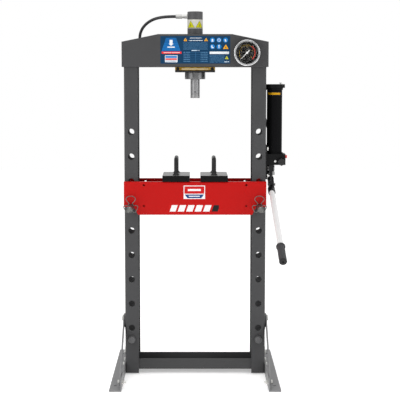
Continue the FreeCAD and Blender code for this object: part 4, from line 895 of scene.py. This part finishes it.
def ribbed_grip(body_rubber, end_rubber):
    """The grip as moulded: a collar, a body with long ribs, and a rounded, vented end that
    use keeps blacker."""
    sides = 72
    ribs = 12
    length = 0.112
    ribs_from, ribs_run, rib_height = 0.0150, 0.0875, 0.0012
    end_from = 0.1050
    droop = math.radians(19.5)
    along = Vector((0, -math.cos(droop), -math.sin(droop)))
    up = Vector((0, -math.sin(droop), math.cos(droop)))
    across = Vector((1, 0, 0))
    low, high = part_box("handle_grip")
    collar_reach = (high.x - low.x) / 2
    heel = Vector((low.x + collar_reach, high.y - collar_reach * math.sin(droop),
                   high.z - collar_reach * math.cos(droop)))
    # distance from the heel, radius between ribs, height of the ribs
    profile = [(0.0, 0.0112, 0.0), (0.0, 0.0160, 0.0), (0.0008, 0.0169, 0.0), (0.0042, 0.0169, 0.0),
               (0.0050, 0.0160, 0.0), (0.0058, 0.0138, 0.0), (0.0110, 0.0134, 0.0)]
    profile += [(ribs_from + ribs_run * step / 10, 0.0131, rib_height) for step in range(11)]
    profile += [(end_from, 0.0138, 0.0), (0.1085, 0.0142, 0.0), (0.1105, 0.0130, 0.0),
                (0.1116, 0.0105, 0.0), (length - 0.0001, 0.0060, 0.0), (length - 0.0001, 0.0040, 0.0),
                (0.1060, 0.0038, 0.0)]
    shape = bmesh.new()
    rings = []
    for distance, radius, rib in profile:
        ring = []
        for side in range(sides):
            angle = 2 * math.pi * side / sides
            crest = max(0.0, math.cos(ribs * angle)) ** 0.5 * rib
            reach = across * math.cos(angle) + up * math.sin(angle)
            ring.append(shape.verts.new(heel + along * distance + reach * (radius + crest)))
        rings.append(ring)
    loft(shape, rings)
    for face in shape.faces:
        face.smooth = len(face.verts) == 4
        face.material_index = int((face.calc_center_median() - heel).dot(along) > end_from)
    piece = piece_from(shape, "ribbed_grip", "lever", body_rubber, end_rubber)
    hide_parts("handle_grip")


grip_black = rubber("grip_rubber_moulding", paint_chip(50, 50, 52), 0.6)
dress(grip_black, "handle_grip")
ribbed_grip(grip_black, rubber("grip_end_moulding", paint_chip(22, 22, 23), 0.5))

# ---- Floor, light and camera ----
# A plain white studio: pale floor, a bright surround that is dimmer behind the
# camera, and soft boxes to the left, right and above.

floor_reach = 9
floor_level = -0.0005
floor_mesh = bpy.data.meshes.new("studio_floor")
floor_mesh.from_pydata([(x * floor_reach, y * floor_reach, floor_level)
                        for x, y in ((-1, -1), (1, -1), (1, 1), (-1, 1))], [], [(0, 1, 2, 3)])
floor_finish = Finish("studio_floor_paint")
floor_tone = floor_finish.mix(floor_finish.noise(1.5), (0.93, 0.93, 0.93, 1), (0.96, 0.96, 0.96, 1))
floor_mesh.materials.append(floor_finish.surface(
    floor_tone, 0.7, Specular_IOR_Level=0.0, Emission_Color=(1, 1, 1, 1), Emission_Strength=0.36))
floor = in_scene("studio_floor", floor_mesh)

world = bpy.data.worlds.new("studio_surround")
bpy.context.scene.world = world
world.use_nodes = True
tree = world.node_tree
tree.nodes.clear()
direction, split, level, sight, pick, background, result = [
    tree.nodes.new(kind) for kind in (
        "ShaderNodeTexCoord", "ShaderNodeSeparateXYZ", "ShaderNodeMapRange", "ShaderNodeLightPath",
        "ShaderNodeMix", "ShaderNodeBackground", "ShaderNodeOutputWorld")]
for socket, value in (("From Min", -1.0), ("From Max", 0.2), ("To Min", 0.22), ("To Max", 0.95)):
    level.inputs[socket].default_value = value
# the camera sees the surround at full brightness, whatever light it gives
pick.inputs[3].default_value = 1.0
background.inputs["Color"].default_value = (1.0, 1.0, 1.0, 1.0)
for source, target in ((direction.outputs["Generated"], split.inputs[0]),
                       (split.outputs["Y"], level.inputs["Value"]),
                       (sight.outputs["Is Camera Ray"], pick.inputs[0]),
                       (level.outputs[0], pick.inputs[2]),
                       (pick.outputs[0], background.inputs["Strength"]),
                       (background.outputs[0], result.inputs["Surface"])):
    tree.links.new(source, target)

aim = Vector((0, 0, 0.8))
for name, place, size, power in (("soft_box_left", (-2.6, -2.4, 2.2), (1.4, 2.4), 46.0),
                                 ("soft_box_right", (2.8, -2.0, 1.9), (1.2, 2.2), 30.0),
                                 ("soft_box_top", (0.0, -0.8, 4.0), (2.6, 2.6), 40.0),
                                 ("soft_box_low", (0.0, -3.0, 0.6), (2.6, 0.8), 7.0)):
    lamp_data = bpy.data.lights.new(name, "AREA")
    lamp_data.shape = "RECTANGLE"
    lamp_data.size, lamp_data.size_y = size
    lamp_data.energy = power
    lamp = in_scene(name, lamp_data)
    lamp.location = place
    lamp.rotation_mode = "QUATERNION"
    lamp.rotation_quaternion = (aim - Vector(place)).to_track_quat("-Z", "Y")

camera_data = bpy.data.cameras.new("front_camera")
camera_data.sensor_width = 36.0
camera_data.lens = 88.05
camera_data.shift_x = 0.01225
camera_data.shift_y = -0.10
camera_data.clip_end = 60.0
camera_dip = 4.681
camera = in_scene("front_camera", camera_data)
camera.location = (0.0, -3.9806, 1.2003)
camera.rotation_euler = (math.radians(90 - camera_dip), 0.0, 0.0)
bpy.context.scene.camera = camera
bpy.context.scene.view_settings.view_transform = "Standard"
